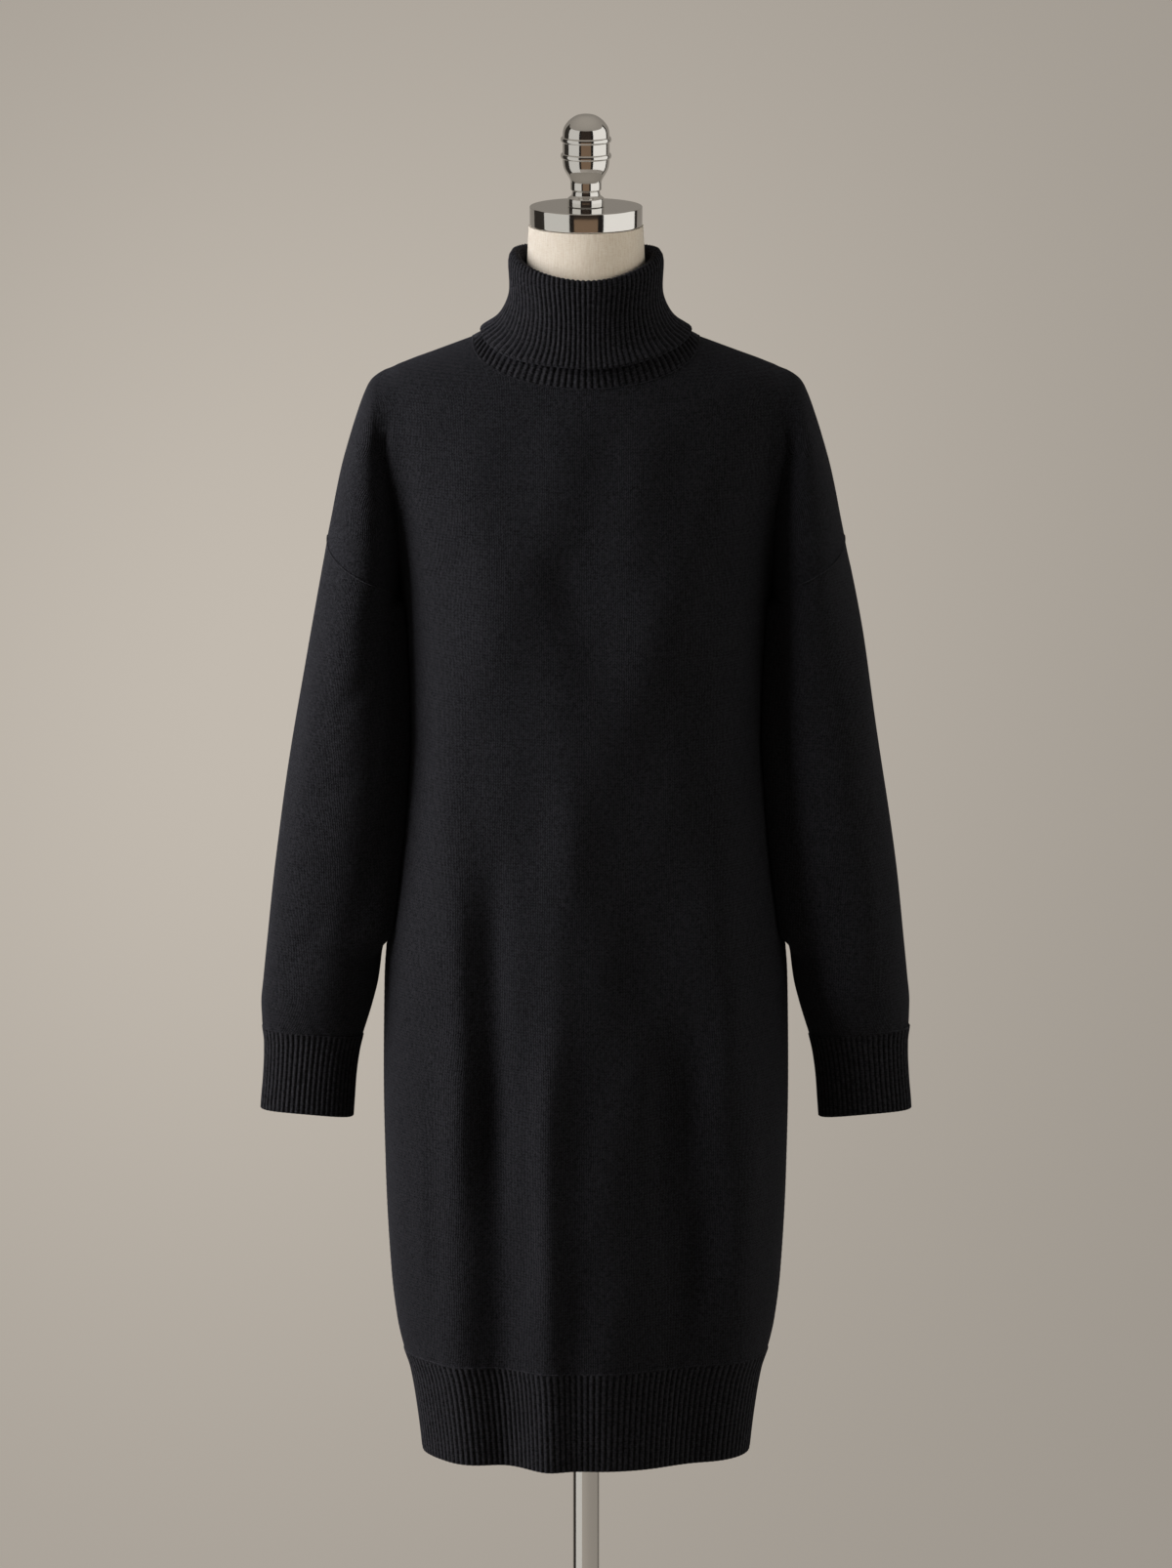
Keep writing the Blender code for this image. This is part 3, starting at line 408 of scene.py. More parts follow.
def fold_rise(x, z, face):
    """How far the folds push the cloth out at a place on the front or the back."""
    rise = 0.0
    for fold in FOLDS[face]:
        strength = smooth_step((fold.z_top - z) / (fold.z_top - fold.z_full))
        down = np.clip((fold.z_top - z) / (fold.z_top - HEM_Z), 0, 1)
        middle = fold.x_top + (fold.x_hem - fold.x_top) * down
        rise = rise + fold.rise * strength * np.exp(-(((x - middle) / fold.width) ** 2))
    return rise


def bust_rise(x, z, face):
    if face == BACK:
        return 0.0
    across = (np.abs(x) - BUST_X) / BUST_WIDTH
    along = (z - BUST_Z) / BUST_HEIGHT
    return BUST_RISE * np.exp(-(across**2) - along**2)


def torso_depth(x, z, face, shaped=True):
    share = np.clip(np.abs(x) / body_half_width(z), 0, 1)
    depth = body_depth_of[face](z)
    if shaped:
        depth = depth + fold_rise(x, z, face) + bust_rise(x, z, face) + body_relief(x, z, face)
    return depth * np.sqrt(1 - share ** body_squareness(z))


def arm_depth(x, z):
    middle = (arm_outer(z) + arm_inner(z)) / 2
    reach = (arm_outer(z) - arm_inner(z)) / 2
    share = np.clip(np.abs(np.abs(x) - middle) / reach, 0, 1)
    return np.where(z < ARM_TOP_Z, arm_half_depth(z), 0) * np.sqrt(1 - share**2)


def outline_half_width(z):
    """Half the width of the garment above the drop seams, sleeves' tops and all."""
    wide = np.maximum(body_half_width(z), arm_outer(z))
    return np.where(z < ARM_TOP_Z, wide, body_half_width(z))


def valley_depth(x, z):
    """The cloth that hangs between the body and the sleeve. It ends where the outline does."""
    across = (np.abs(x) - valley_x(z)) / VALLEY_WIDTH
    share = np.clip(np.abs(x) / outline_half_width(z), 0, 1)
    return valley_depth_at(z) * np.exp(-(across**2)) * np.sqrt(1 - share**VALLEY_SQUARENESS)


CREASE_SHARPNESS = 4
# How often a range is halved to find where surfaces meet
CREASE_HALVINGS, SIDE_HALVINGS = 40, 30


def upper_depth(x, z, face):
    """The body, the cloth over the arms and what hangs between them, as one surface."""
    parts = torso_depth(x, z, face), arm_depth(x, z), valley_depth(x, z)
    return sum(part**CREASE_SHARPNESS for part in parts) ** (1 / CREASE_SHARPNESS)


def crease_x(z):
    """Where the body meets the sleeve at a height: the body falls away to it and the sleeve rises."""
    low, high = float(arm_inner(z)), float(body_half_width(z))
    for _ in range(CREASE_HALVINGS):
        middle = (low + high) / 2
        if torso_depth(middle, z, FRONT, False) > arm_depth(middle, z):
            low = middle
        else:
            high = middle
    return (low + high) / 2


# How far apart, either way, the depths are read from which a surface's direction comes
STEP = 0.0002
TINY = 1e-9


def outward(depth, x, z, face):
    """The outward direction of the surface y = face * depth(x, z)."""
    across = (depth(x + STEP, z, face) - depth(x - STEP, z, face)) / (2 * STEP)
    along = (depth(x, z + STEP, face) - depth(x, z - STEP, face)) / (2 * STEP)
    return unit(np.stack([-across, face * np.ones_like(across), -along], axis=-1))


def running_sums(steps):
    """0, and then the sum of the steps up to each one."""
    return np.concatenate([[0], np.cumsum(steps)])


def evenly_read(value, x, y, count):
    """The value along the curve (x, y), read at count places spaced evenly along that curve."""
    lengths = running_sums(np.hypot(np.diff(x), np.diff(y)))
    return np.interp(np.linspace(0, lengths[-1], count), lengths, value)


# Meshes

KNIT_UV = "knit"


def points_inwards(points, faces):
    """True if the quads close in a negative volume."""
    a, b, c, d = (points[faces[:, i]] for i in range(4))
    return float((a * (np.cross(b, c) + np.cross(c, d))).sum()) < 0


def add_object(name, data):
    made = bpy.data.objects.new(name, data)
    bpy.context.scene.collection.objects.link(made)
    return made


def add_mesh(name, points, faces, uv=None, uv_faces=None, caps=(), sharp=None):
    """A smooth closed mesh object that faces outwards, from an array of quads and some other faces as caps.

    uv is a table of places on the flat cloth, in metres. uv_faces holds a row number in that table for
    each corner of the quads, and where it isn't given they are the points' own numbers.
    """
    uv_faces = faces if uv_faces is None else uv_faces
    if points_inwards(points, faces):
        faces, uv_faces, caps = faces[:, ::-1], uv_faces[:, ::-1], [cap[::-1] for cap in caps]
    mesh = bpy.data.meshes.new(name)
    everything = [tuple(face) for face in faces.tolist() + [cap.tolist() for cap in caps]]
    mesh.from_pydata([tuple(point) for point in points.tolist()], [], everything)
    mesh.shade_smooth()
    if uv is not None:
        corners = np.concatenate([uv_faces.ravel(), *caps])
        layer = mesh.uv_layers.new(name=KNIT_UV)
        layer.data.foreach_set("uv", uv[corners].astype(np.float32).ravel())
    if sharp:
        mesh.set_sharp_from_angle(angle=math.radians(sharp))
    return add_object(name, mesh)


def grid_quads(rows, columns, wrap_rows=False, wrap_columns=False):
    """Quads of a grid of points, and the same in a flat table.

    Where the columns wrap round, the flat table has one column more than the grid.
    """
    i, j = np.meshgrid(
        np.arange(rows if wrap_rows else rows - 1),
        np.arange(columns if wrap_columns else columns - 1),
        indexing="ij",
    )
    i, j = i.ravel(), j.ravel()
    k, l = (i + 1) % rows, (j + 1) % columns
    wide = columns + 1 if wrap_columns else columns
    faces = in_columns(i * columns + j, i * columns + l, k * columns + l, k * columns + j)
    flat = in_columns(i * wide + j, i * wide + j + 1, k * wide + j + 1, k * wide + j)
    return faces, flat


def add_rings(name, rings, flat_rows=None, closed=False, sharp=None):
    """A solid through rings of equal counts. The last joins the first, or else both ends have flat caps."""
    count = len(rings[0])
    faces, uv_faces = grid_quads(len(rings), count, wrap_rows=closed, wrap_columns=True)
    first = np.arange(count)
    caps = [] if closed else [first[::-1], first + count * (len(rings) - 1)]
    uv = None if flat_rows is None else np.concatenate(flat_rows)
    return add_mesh(name, np.concatenate(rings), faces, uv, uv_faces, caps, sharp)


def open_edges(faces):
    """The directed edges that only one quad uses."""
    count = int(faces.max()) + 1
    one, two = faces.ravel(), np.roll(faces, -1, axis=1).ravel()
    single = ~np.isin(one * count + two, two * count + one)
    return one[single], two[single]


def add_wall(name, outer, inner, faces, uv):
    """A wall of cloth with the same quads on both sides, closed along its edges."""
    count = len(outer)
    one, two = open_edges(faces)
    rim = in_columns(two, one, one + count, two + count)
    everything = np.concatenate([faces, faces[:, ::-1] + count, rim])
    return add_mesh(name, np.concatenate([outer, inner]), everything, np.concatenate([uv, uv]), sharp=50)


def arc_lengths(points):
    """How far along its row each point lies."""
    return running_sums(np.linalg.norm(np.diff(points, axis=0), axis=1))


# Front and back panels

TORSO_COLUMNS = 64
NECK_COLUMNS = 30
ARM_COLUMNS = 36
LOWER_ROWS = 150
UPPER_ROWS = 88
LOWER_SPACING = 1.2
UPPER_SPACING = 1.7
EDGE_SAMPLES = 600
# From this share of the way up, the column on the crease leaves it for the shoulder's edge.
CREASE_TURNS_AT = 0.6
# How late on the way up the arm's columns draw together on the outline
ARM_GATHERS = 4
UNDERARM_INNER_RISE = 0.0015
# The knit's wales turn from upright on the body to this slant where the sleeve hangs off the shoulder.
WALE_SLANT = math.radians(42)
WALE_SLANT_FULL_Z, WALE_SLANT_NONE_Z = 1.285, 1.375


def top_edge(face):
    """The panel's top edge in the front view, from the middle of the neckline to the shoulder's corner."""
    angles = np.linspace(0, math.pi / 2, NECK_COLUMNS + 1)
    neck_x = NECK_HALF_WIDTH * np.sin(angles)
    neck_z = NECK_SIDE_Z - NECK_DROP[face] * np.cos(angles)
    fine_z = np.linspace(NECK_SIDE_Z, SHOULDER_CORNER_Z, EDGE_SAMPLES)
    count = TORSO_COLUMNS - NECK_COLUMNS + ARM_COLUMNS + 1
    shoulder_z = evenly_read(fine_z, outline_half_width(fine_z), fine_z, count)[1:]
    return np.append(neck_x, outline_half_width(shoulder_z)), np.append(neck_z, shoulder_z)


def panel_half(face):
    """Rows of (x, z) from the hem rib up, for the half with x > 0. Rows below the underarm are shorter."""
    torso_share = np.sin(np.linspace(0, math.pi / 2, TORSO_COLUMNS + 1))
    rows = []
    for i in range(LOWER_ROWS):
        low = HEM_RIB_TOP_Z + SEAM_GAP
        z = low + (UNDERARM_Z - low) * (i / LOWER_ROWS) ** LOWER_SPACING
        rows.append((body_half_width(z) * torso_share, np.full(TORSO_COLUMNS + 1, z)))
    top_x, top_z = top_edge(face)
    arm_share = np.linspace(0, 1, ARM_COLUMNS + 1)[1:]
    seam_z = UNDERARM_Z + (DROP_SEAM_OUTER_Z - UNDERARM_Z) * arm_share
    base_z = np.append(np.full(TORSO_COLUMNS + 1, UNDERARM_Z), seam_z)
    top_share = top_x[: TORSO_COLUMNS + 1] / top_x[TORSO_COLUMNS]
    for i in range(UPPER_ROWS + 1):
        up = 1 - (1 - i / UPPER_ROWS) ** UPPER_SPACING
        z = base_z + (top_z - base_z) * up
        turn = smooth_step((up - CREASE_TURNS_AT) / (1 - CREASE_TURNS_AT))
        crease = crease_x(z[TORSO_COLUMNS]) * (1 - turn) + top_x[TORSO_COLUMNS] * turn
        torso_x = crease * (torso_share + (top_share - torso_share) * up)
        around = (1 - np.cos(math.pi * arm_share)) / 2
        around = around + (1 - around) * up**ARM_GATHERS
        outline = outline_half_width(z[TORSO_COLUMNS + 1 :])
        arm_x = crease + (outline - crease) * around
        rows.append((np.append(torso_x, arm_x), z))
    return rows


def wale_slant(z):
    return WALE_SLANT * smooth_step((WALE_SLANT_NONE_Z - z) / (WALE_SLANT_NONE_Z - WALE_SLANT_FULL_Z))


def panel_uv(half_x, half_z, face, level):
    """The place on the flat knit, in metres: across the wales and along them."""
    depth = upper_depth if level >= LOWER_ROWS else torso_depth
    y = depth(half_x, half_z, face)
    u = running_sums(np.hypot(np.diff(half_x), np.diff(y)))
    if len(half_x) <= TORSO_COLUMNS + 1:
        return in_columns(u, half_z)
    crease_u = u[TORSO_COLUMNS]
    slant = wale_slant(half_z[TORSO_COLUMNS + 1 :])
    beyond = u[TORSO_COLUMNS + 1 :] - crease_u
    rise = half_z[TORSO_COLUMNS + 1 :] - SHOULDER_CORNER_Z
    turned_u = crease_u + beyond * np.cos(slant) + rise * np.sin(slant)
    turned_v = SHOULDER_CORNER_Z - beyond * np.sin(slant) + rise * np.cos(slant)
    u = np.append(u[: TORSO_COLUMNS + 1], turned_u)
    return in_columns(u, np.append(half_z[: TORSO_COLUMNS + 1], turned_v))


def panel_mesh(face):
    """The panel's outer and inner points, its quads and its places on the flat knit."""
    outer, inner, flat, starts, widths = [], [], [], [], []
    for level, (half_x, half_z) in enumerate(panel_half(face)):
        upper = level >= LOWER_ROWS
        depth = upper_depth if upper else torso_depth
        x = np.append(-half_x[:0:-1], half_x)
        z = np.append(half_z[:0:-1], half_z)
        y = face * depth(x, z, face)
        normal = outward(depth, x, z, face)
        in_seam = np.zeros(len(x), bool)
        in_seam[[0, -1]] = level < LOWER_ROWS or level > LOWER_ROWS
        if level == LOWER_ROWS + UPPER_ROWS:
            in_seam |= np.abs(x) >= NECK_HALF_WIDTH - TINY
        corners = []
        if level == LOWER_ROWS:
            corners = [ARM_COLUMNS, len(x) - 1 - ARM_COLUMNS]
            in_seam[[0, -1]] = True
            in_seam[corners] = True
        level_edge = np.full(len(x), level == 0)
        if level == LOWER_ROWS:
            level_edge |= np.abs(x) > half_x[TORSO_COLUMNS] - TINY
        normal[in_seam, 1] = 0
        normal[level_edge, 2] = 0
        normal = unit(normal)
        y = np.where(in_seam, face * SEAM_GAP / 2, y + face * SEAM_GAP / 2)
        points = in_columns(x, y, z)
        inside = points - CLOTH * normal
        inside[corners] = points[corners] + [0, 0, UNDERARM_INNER_RISE]
        # The inner side stays on its own side of the seams' plane.
        inside[:, 1] = face * np.maximum(face * inside[:, 1], SEAM_GAP / 2)
        half = panel_uv(half_x, half_z, face, level)
        starts.append(sum(widths))
        widths.append(len(x))
        outer.append(points)
        inner.append(inside)
        flat.append(np.concatenate([half[:0:-1] * [-1, 1], half]))
    faces = []
    for level in range(len(widths) - 1):
        # Only the torso's columns go on below the drop seam.
        skip = ARM_COLUMNS if level == LOWER_ROWS - 1 else 0
        low = starts[level] + np.arange(widths[level])
        high = starts[level + 1] + skip + np.arange(widths[level])
        faces.append(in_columns(low[:-1], low[1:], high[1:], high[:-1]))
    return np.concatenate(outer), np.concatenate(inner), np.concatenate(faces), np.concatenate(flat)


def add_panel(name, face):
    outer, inner, faces, flat = panel_mesh(face)
    return add_wall(name, outer, inner, faces, flat)


# Ribbed bands

RIB_COLUMNS = 10
RIB_LOW, RIB_HIGH, RIB_FULLNESS = -0.0003, 0.0009, 3
# From rib to rib on the hung hem
HEM_RIB_PITCH = 0.0051
# From rib to rib on the flat knit, the same in all the bands
RIB_FLAT_PITCH = 0.0048
LIP_STEPS = 5


def rib_profile(ribs):
    """How far a rib stands up at a place counted in ribs, 0 in each groove."""
    return RIB_LOW + (RIB_HIGH - RIB_LOW) * (1 - np.abs(np.cos(math.pi * ribs)) ** RIB_FULLNESS)


# A place in the section of a band: how far along it, how far off its middle as a share of half the
# cloth, and how much of the ribs' relief it has on the outer side, or, if negative, on the inner
SectionPoint = namedtuple("SectionPoint", "along side relief")


def band_section(length, lip, rows, inner_relief=0.0):
    """A wall's section as a closed outline, from the start of its outer side, with round lips."""
    points = []
    halves = [(lip, length - lip, 0, 1.0, 1.0), (length - lip, lip, math.pi, -1.0, inner_relief)]
    for start, end, turned, side, relief in halves:
        points += [SectionPoint(along, side, relief) for along in np.linspace(start, end, rows)]
        for angle in np.linspace(turned, turned + math.pi, LIP_STEPS + 2)[1:-1]:
            across = math.cos(angle)
            relief_here = max(across, inner_relief * -across)
            points.append(SectionPoint(end + lip * math.sin(angle), across, relief_here))
    return points


def band_offset(place, relief):
    """How far a place in the section stands off the outer surface, with ribs on the outer side alone."""
    return CLOTH * (place.side - 1) / 2 + np.clip(place.relief, 0, 1) * relief


HEM_RIBS = 75
HEM_ROWS = 26
HEM_SAMPLES = 900
# The share of the band's height that each of its round lips takes up
HEM_LIP = 0.010
# The hem's corners at the side seams are a little rounded.
HEM_CORNER_RISE, HEM_CORNER_LENGTH = 0.0030, 0.006


def hem_angles(face, count):
    """Angles round half the section that space its points evenly along the cloth."""
    fine = np.linspace(-math.pi / 2, math.pi / 2, HEM_SAMPLES)
    x = body_half_width(HEM_Z) * np.sin(fine)
    return evenly_read(fine, x, torso_depth(x, HEM_Z, face), count)


def hem_line(angles, z, face):
    """Points along half the hem at heights z, with their outward directions, which are level."""
    x = body_half_width(z) * np.sin(angles)
    normal = outward(torso_depth, x, z, face)
    normal[[0, -1], 1] = 0
    normal[:, 2] = 0
    y = face * (torso_depth(x, z, face) + SEAM_GAP / 2)
    return in_columns(x, y, z), unit(normal)


def add_hem_rib(name, face):
    count = HEM_RIBS * RIB_COLUMNS + 1
    angles = hem_angles(face, count)
    ribs = np.arange(count) / RIB_COLUMNS
    relief = rib_profile(ribs)
    to_seam = np.minimum(ribs, HEM_RIBS - ribs) * HEM_RIB_PITCH
    bottom = HEM_Z + HEM_CORNER_RISE * np.exp(-((to_seam / HEM_CORNER_LENGTH) ** 2))
    points, flat = [], []
    for place in band_section(1.0, HEM_LIP, HEM_ROWS):
        z = HEM_RIB_TOP_Z + (bottom - HEM_RIB_TOP_Z) * place.along
        outer, normal = hem_line(angles, z, face)
        points.append(outer + band_offset(place, relief)[:, None] * normal)
        flat.append(in_columns(ribs * RIB_FLAT_PITCH, z))
    rows = len(points)
    points, flat = np.concatenate(points), np.concatenate(flat)
    points[:, 1] = face * np.maximum(face * points[:, 1], SEAM_GAP / 2)
    faces, _ = grid_quads(rows, count, wrap_rows=True)
    first = np.arange(rows) * count
    caps = [first, (first + count - 1)[::-1]]
    return add_mesh(name, points, faces, flat, caps=caps, sharp=60)


# Sleeves and cuffs

SLEEVE_COLUMNS = 128
SLEEVE_ROWS = 130
CUFF_RIBS = 50
CUFF_ROWS = 20
CUFF_SAMPLES = 1441
# Sleeve creases end before the inner side, where the sleeve lies on the body, and at the drop seam.
SLEEVE_CREASE_LIMIT, SLEEVE_CREASE_BAND = math.radians(150), math.radians(40)
BELOW_SEAM_BAND = 0.030
# The sleeve's usual radius, on which the places and widths of its creases are measured
SLEEVE_RADIUS = 0.055
# The sleeve leans on the side of the body from the armpit down to about the hip.
LEAN_GAP, LEAN_DEPTH, LEAN_FADE = 0.0005, 0.026, 0.024
LEAN_TOP_Z, LEAN_TOP_BAND = 1.193, 0.006
LEAN_END_Z, LEAN_END_BAND = 0.872, 0.026
LEAN_ANGLE, LEAN_ANGLE_BAND = math.radians(95), 0.5


def half_turns(angles):
    """The same angles, between -pi and pi."""
    return (angles + math.pi) % (2 * math.pi) - math.pi


def sleeve_relief(angles, z, side):
    """What creases, gathers and unevenness add to the sleeve."""
    angles = half_turns(angles)
    reach = (arm_outer(z) - arm_inner(z) + 2 * arm_half_depth(z)) / 4
    around = angles * reach
    total = uneven(around, z, UNEVEN_SEEDS[side]) * np.ones_like(angles)
    for angle_from, z_from, angle_to, z_to, *form in SLEEVE_CREASES[side]:
        x_from, x_to = (math.radians(angle) * SLEEVE_RADIUS for angle in (angle_from, angle_to))
        total = total + crease_lift(angles * SLEEVE_RADIUS, z, x_from, z_from, x_to, z_to, *form)
    above_cuff = np.clip(z - CUFF_TOP_Z, 0, 1) / GATHER_LENGTH
    total = total + GATHER_RISE * np.exp(-(above_cuff**2)) * np.cos(2 * math.pi * around / GATHER_PITCH)
    outside = smooth_step((SLEEVE_CREASE_LIMIT - np.abs(angles)) / SLEEVE_CREASE_BAND)
    below_seam = smooth_step((drop_seam_z(angles) - z) / BELOW_SEAM_BAND)
    return total * outside * below_seam


def arm_ring(angles, z, offset=0.0):
    """Points round the sleeve at heights z, starting at its outer side."""
    inner = arm_inner(z) + SLEEVE_CLEARANCE
    middle, reach = (arm_outer(z) + inner) / 2, (arm_outer(z) - inner) / 2
    depth = arm_half_depth(z)
    across, along = np.cos(angles), np.sin(angles)
    normal = unit(in_columns(across / reach, along / depth, np.zeros(len(angles))))
    points = in_columns(middle + reach * across, depth * along, z)
    return points + np.asarray(offset).reshape(-1, 1) * normal


def drop_seam_z(angles):
    """The drop seam's height round the sleeve: highest outside, lowest in the armpit."""
    turned = np.abs(half_turns(angles)) / math.pi
    return DROP_SEAM_OUTER_Z + (UNDERARM_Z - DROP_SEAM_OUTER_Z) * turned


def cuff_z(angles, level):
    """The height round the wrist of an edge that is square to the sleeve, and arched before and behind."""
    reach = (arm_outer(level) - arm_inner(level)) / 2
    return level + CUFF_TILT * reach * np.cos(angles) + CUFF_ARCH * np.sin(angles) ** 2


def body_side_x(y, z):
    """How far out the side of the body lies at a depth y and a height z."""
    low, high = 0.5 * body_half_width(z), body_half_width(z)
    front = y < 0
    for _ in range(SIDE_HALVINGS):
        middle = (low + high) / 2
        depth = np.where(front, torso_depth(middle, z, FRONT), torso_depth(middle, z, BACK))
        inside = depth > np.abs(y)
        low, high = np.where(inside, middle, low), np.where(inside, high, middle)
    return (low + high) / 2


def lean_on_body(angles, points):
    """How far each point of a sleeve moves in to lie on the side of the body."""
    x, y, z = points.T
    near = smooth_step((LEAN_DEPTH + LEAN_FADE - np.abs(y)) / LEAN_FADE)
    near = near * smooth_step((np.abs(angles) - LEAN_ANGLE) / LEAN_ANGLE_BAND)
    near = near * smooth_step((z - LEAN_END_Z) / LEAN_END_BAND)
    near = near * smooth_step((LEAN_TOP_Z - z) / LEAN_TOP_BAND)
    return np.minimum(body_side_x(y, z) + LEAN_GAP - x, 0) * near


def add_sleeve(name, side, hand):
    round_it = np.linspace(-math.pi, math.pi, SLEEVE_COLUMNS + 1)
    top = drop_seam_z(round_it) - SEAM_GAP
    bottom = cuff_z(round_it, CUFF_TOP_Z + SEAM_GAP)
    shares = np.linspace(0, 1, SLEEVE_ROWS + 1)[:, None]
    angles = np.tile(round_it, SLEEVE_ROWS + 1)
    z = (top + (bottom - top) * shares).ravel()
    lift = sleeve_relief(angles, z, side)
    outer, inner = arm_ring(angles, z, lift), arm_ring(angles, z, lift - CLOTH)
    lean = lean_on_body(angles, outer)
    outer[:, 0] += lean
    inner[:, 0] += lean
    grid = (SLEEVE_ROWS + 1, SLEEVE_COLUMNS + 1, 3)
    outer, inner = (list(side_points.reshape(grid) * [hand, 1, 1]) for side_points in (outer, inner))
    flat = []
    for ring in outer:
        along = arc_lengths(ring)
        flat.append(in_columns(along - along[SLEEVE_COLUMNS // 2], ring[:, 2]))
    rings = [ring[:-1] for ring in outer + inner[::-1]]
    return add_rings(name, rings, flat + flat[::-1], closed=True, sharp=50)


def cuff_angles(count):
    """Angles round the wrist that space its points evenly along the cloth."""
    fine = np.linspace(0, 2 * math.pi, CUFF_SAMPLES)
    ring = arm_ring(fine, np.full(len(fine), CUFF_TOP_Z))
    return evenly_read(fine, ring[:, 0], ring[:, 1], count + 1)


def add_cuff(name, hand):
    count = CUFF_RIBS * RIB_COLUMNS
    angles = cuff_angles(count)
    ribs = np.arange(count + 1) / RIB_COLUMNS
    relief = rib_profile(ribs)
    rings, flat = [], []
    for place in band_section(CUFF_TOP_Z - CUFF_END_Z, CLOTH / 2, CUFF_ROWS):
        z = cuff_z(angles, CUFF_TOP_Z - place.along)
        rings.append(arm_ring(angles, z, band_offset(place, relief))[:-1] * [hand, 1, 1])
        flat.append(in_columns(ribs * RIB_FLAT_PITCH, z))
    return add_rings(name, rings, flat, closed=True, sharp=60)


# The roll collar

COLLAR_RIBS = 86
COLLAR_ROWS = 46
# The share of the knit's length that each of its round lips takes up
COLLAR_LIP = 0.008
# How far the ribs draw together at the front and back and spread at the sides, along the collar's knit
COLLAR_FAN = [0.17, 0.16, 0.12, 0.07, 0.03, 0.0, 0.0, 0.06, 0.14, 0.24, 0.30]
# Waves round the neck, each as its count, its rise and its phase
COLLAR_WAVES = [(2, 0.0011, 0.6), (3, 0.0009, 2.1), (5, 0.0006, 4.0)]
# The shares of the knit's length over which the waves set in, and over which the knit turns from the
# direction of the neck seam to its own
WAVES_FROM, WAVES_BAND, COLLAR_TURN_BAND = 0.35, 0.4, 0.08
# How wide the shoulders' two directions blend at the neck, and how the collar dips before and behind
NECK_BLEND, COLLAR_DIP = 0.12, 1.5
# How many seam gaps the collar's knit stands clear of the panels' neckline
SEAM_GAPS_IN = 1.5


def neck_seam_ring(angles):
    """Points along the panels' neckline, with their outward directions. Angle 0 is the front."""
    ahead = np.cos(angles) > -TINY
    drop = np.where(ahead, NECK_DROP[FRONT], NECK_DROP[BACK])
    x = NECK_HALF_WIDTH * np.sin(angles)
    z = NECK_SIDE_Z - drop * np.abs(np.cos(angles))
    depth = np.where(ahead, upper_depth(x, z, FRONT), upper_depth(x, z, BACK))
    points = in_columns(x, np.where(ahead, -depth, depth), z)
    normals = np.where(ahead[:, None], outward(upper_depth, x, z, FRONT), outward(upper_depth, x, z, BACK))
    # Beside the shoulder seams the two sides' directions blend into each other.
    normals[:, 1] *= smooth_step(np.abs(np.cos(angles)) / NECK_BLEND)
    return points, unit(normals)


def collar_rows(angles):
    """The middle of the collar's knit at the neck seam and at each row of COLLAR."""
    fanned = [angles - fan * np.sin(2 * angles) / 2 for fan in COLLAR_FAN]
    seam, normal = neck_seam_ring(fanned[0])
    inward = -seam * [1, 1, 0]
    inward -= (inward * normal).sum(axis=1, keepdims=True) * normal
    inward = unit(inward)
    rows = [seam - normal * COLLAR_CLOTH / 2 + inward * SEAM_GAPS_IN * SEAM_GAP]
    for row, turned in zip(COLLAR, fanned[1:]):
        to_front = np.clip(np.cos(turned), 0, 1)
        to_back = np.clip(-np.cos(turned), 0, 1)
        x = row.side * np.sin(turned)
        y = row.back * to_back - row.front * to_front
        z = row.side_z + (row.front_z - row.side_z) * to_front**COLLAR_DIP
        z = z + (row.back_z - row.side_z) * to_back**COLLAR_DIP
        rows.append(in_columns(x, y, z))
    return np.array(rows), normal


# Steps of the curves from each given row to the next
ROW_STEPS = 12


def smooth_rows(rows, count):
    """More rows along smooth curves through the given ones, spaced evenly from end to end."""
    before = np.concatenate([2 * rows[:1] - rows[1:2], rows, 2 * rows[-1:] - rows[-2:-1]])
    fine = []
    for i in range(len(rows) - 1):
        for t in np.linspace(0, 1, ROW_STEPS, endpoint=False):
            fine.append(spline_point(before[i : i + 4], t))
    fine = np.array(fine + [rows[-1]])
    lengths = running_sums(np.linalg.norm(np.diff(fine, axis=0), axis=2).mean(axis=1))
    places = np.interp(np.linspace(0, lengths[-1], count), lengths, np.arange(len(fine)))
    low = np.minimum(places.astype(int), len(fine) - 2)
    share = (places - low)[:, None, None]
    return fine[low] * (1 - share) + fine[low + 1] * share, lengths[-1]


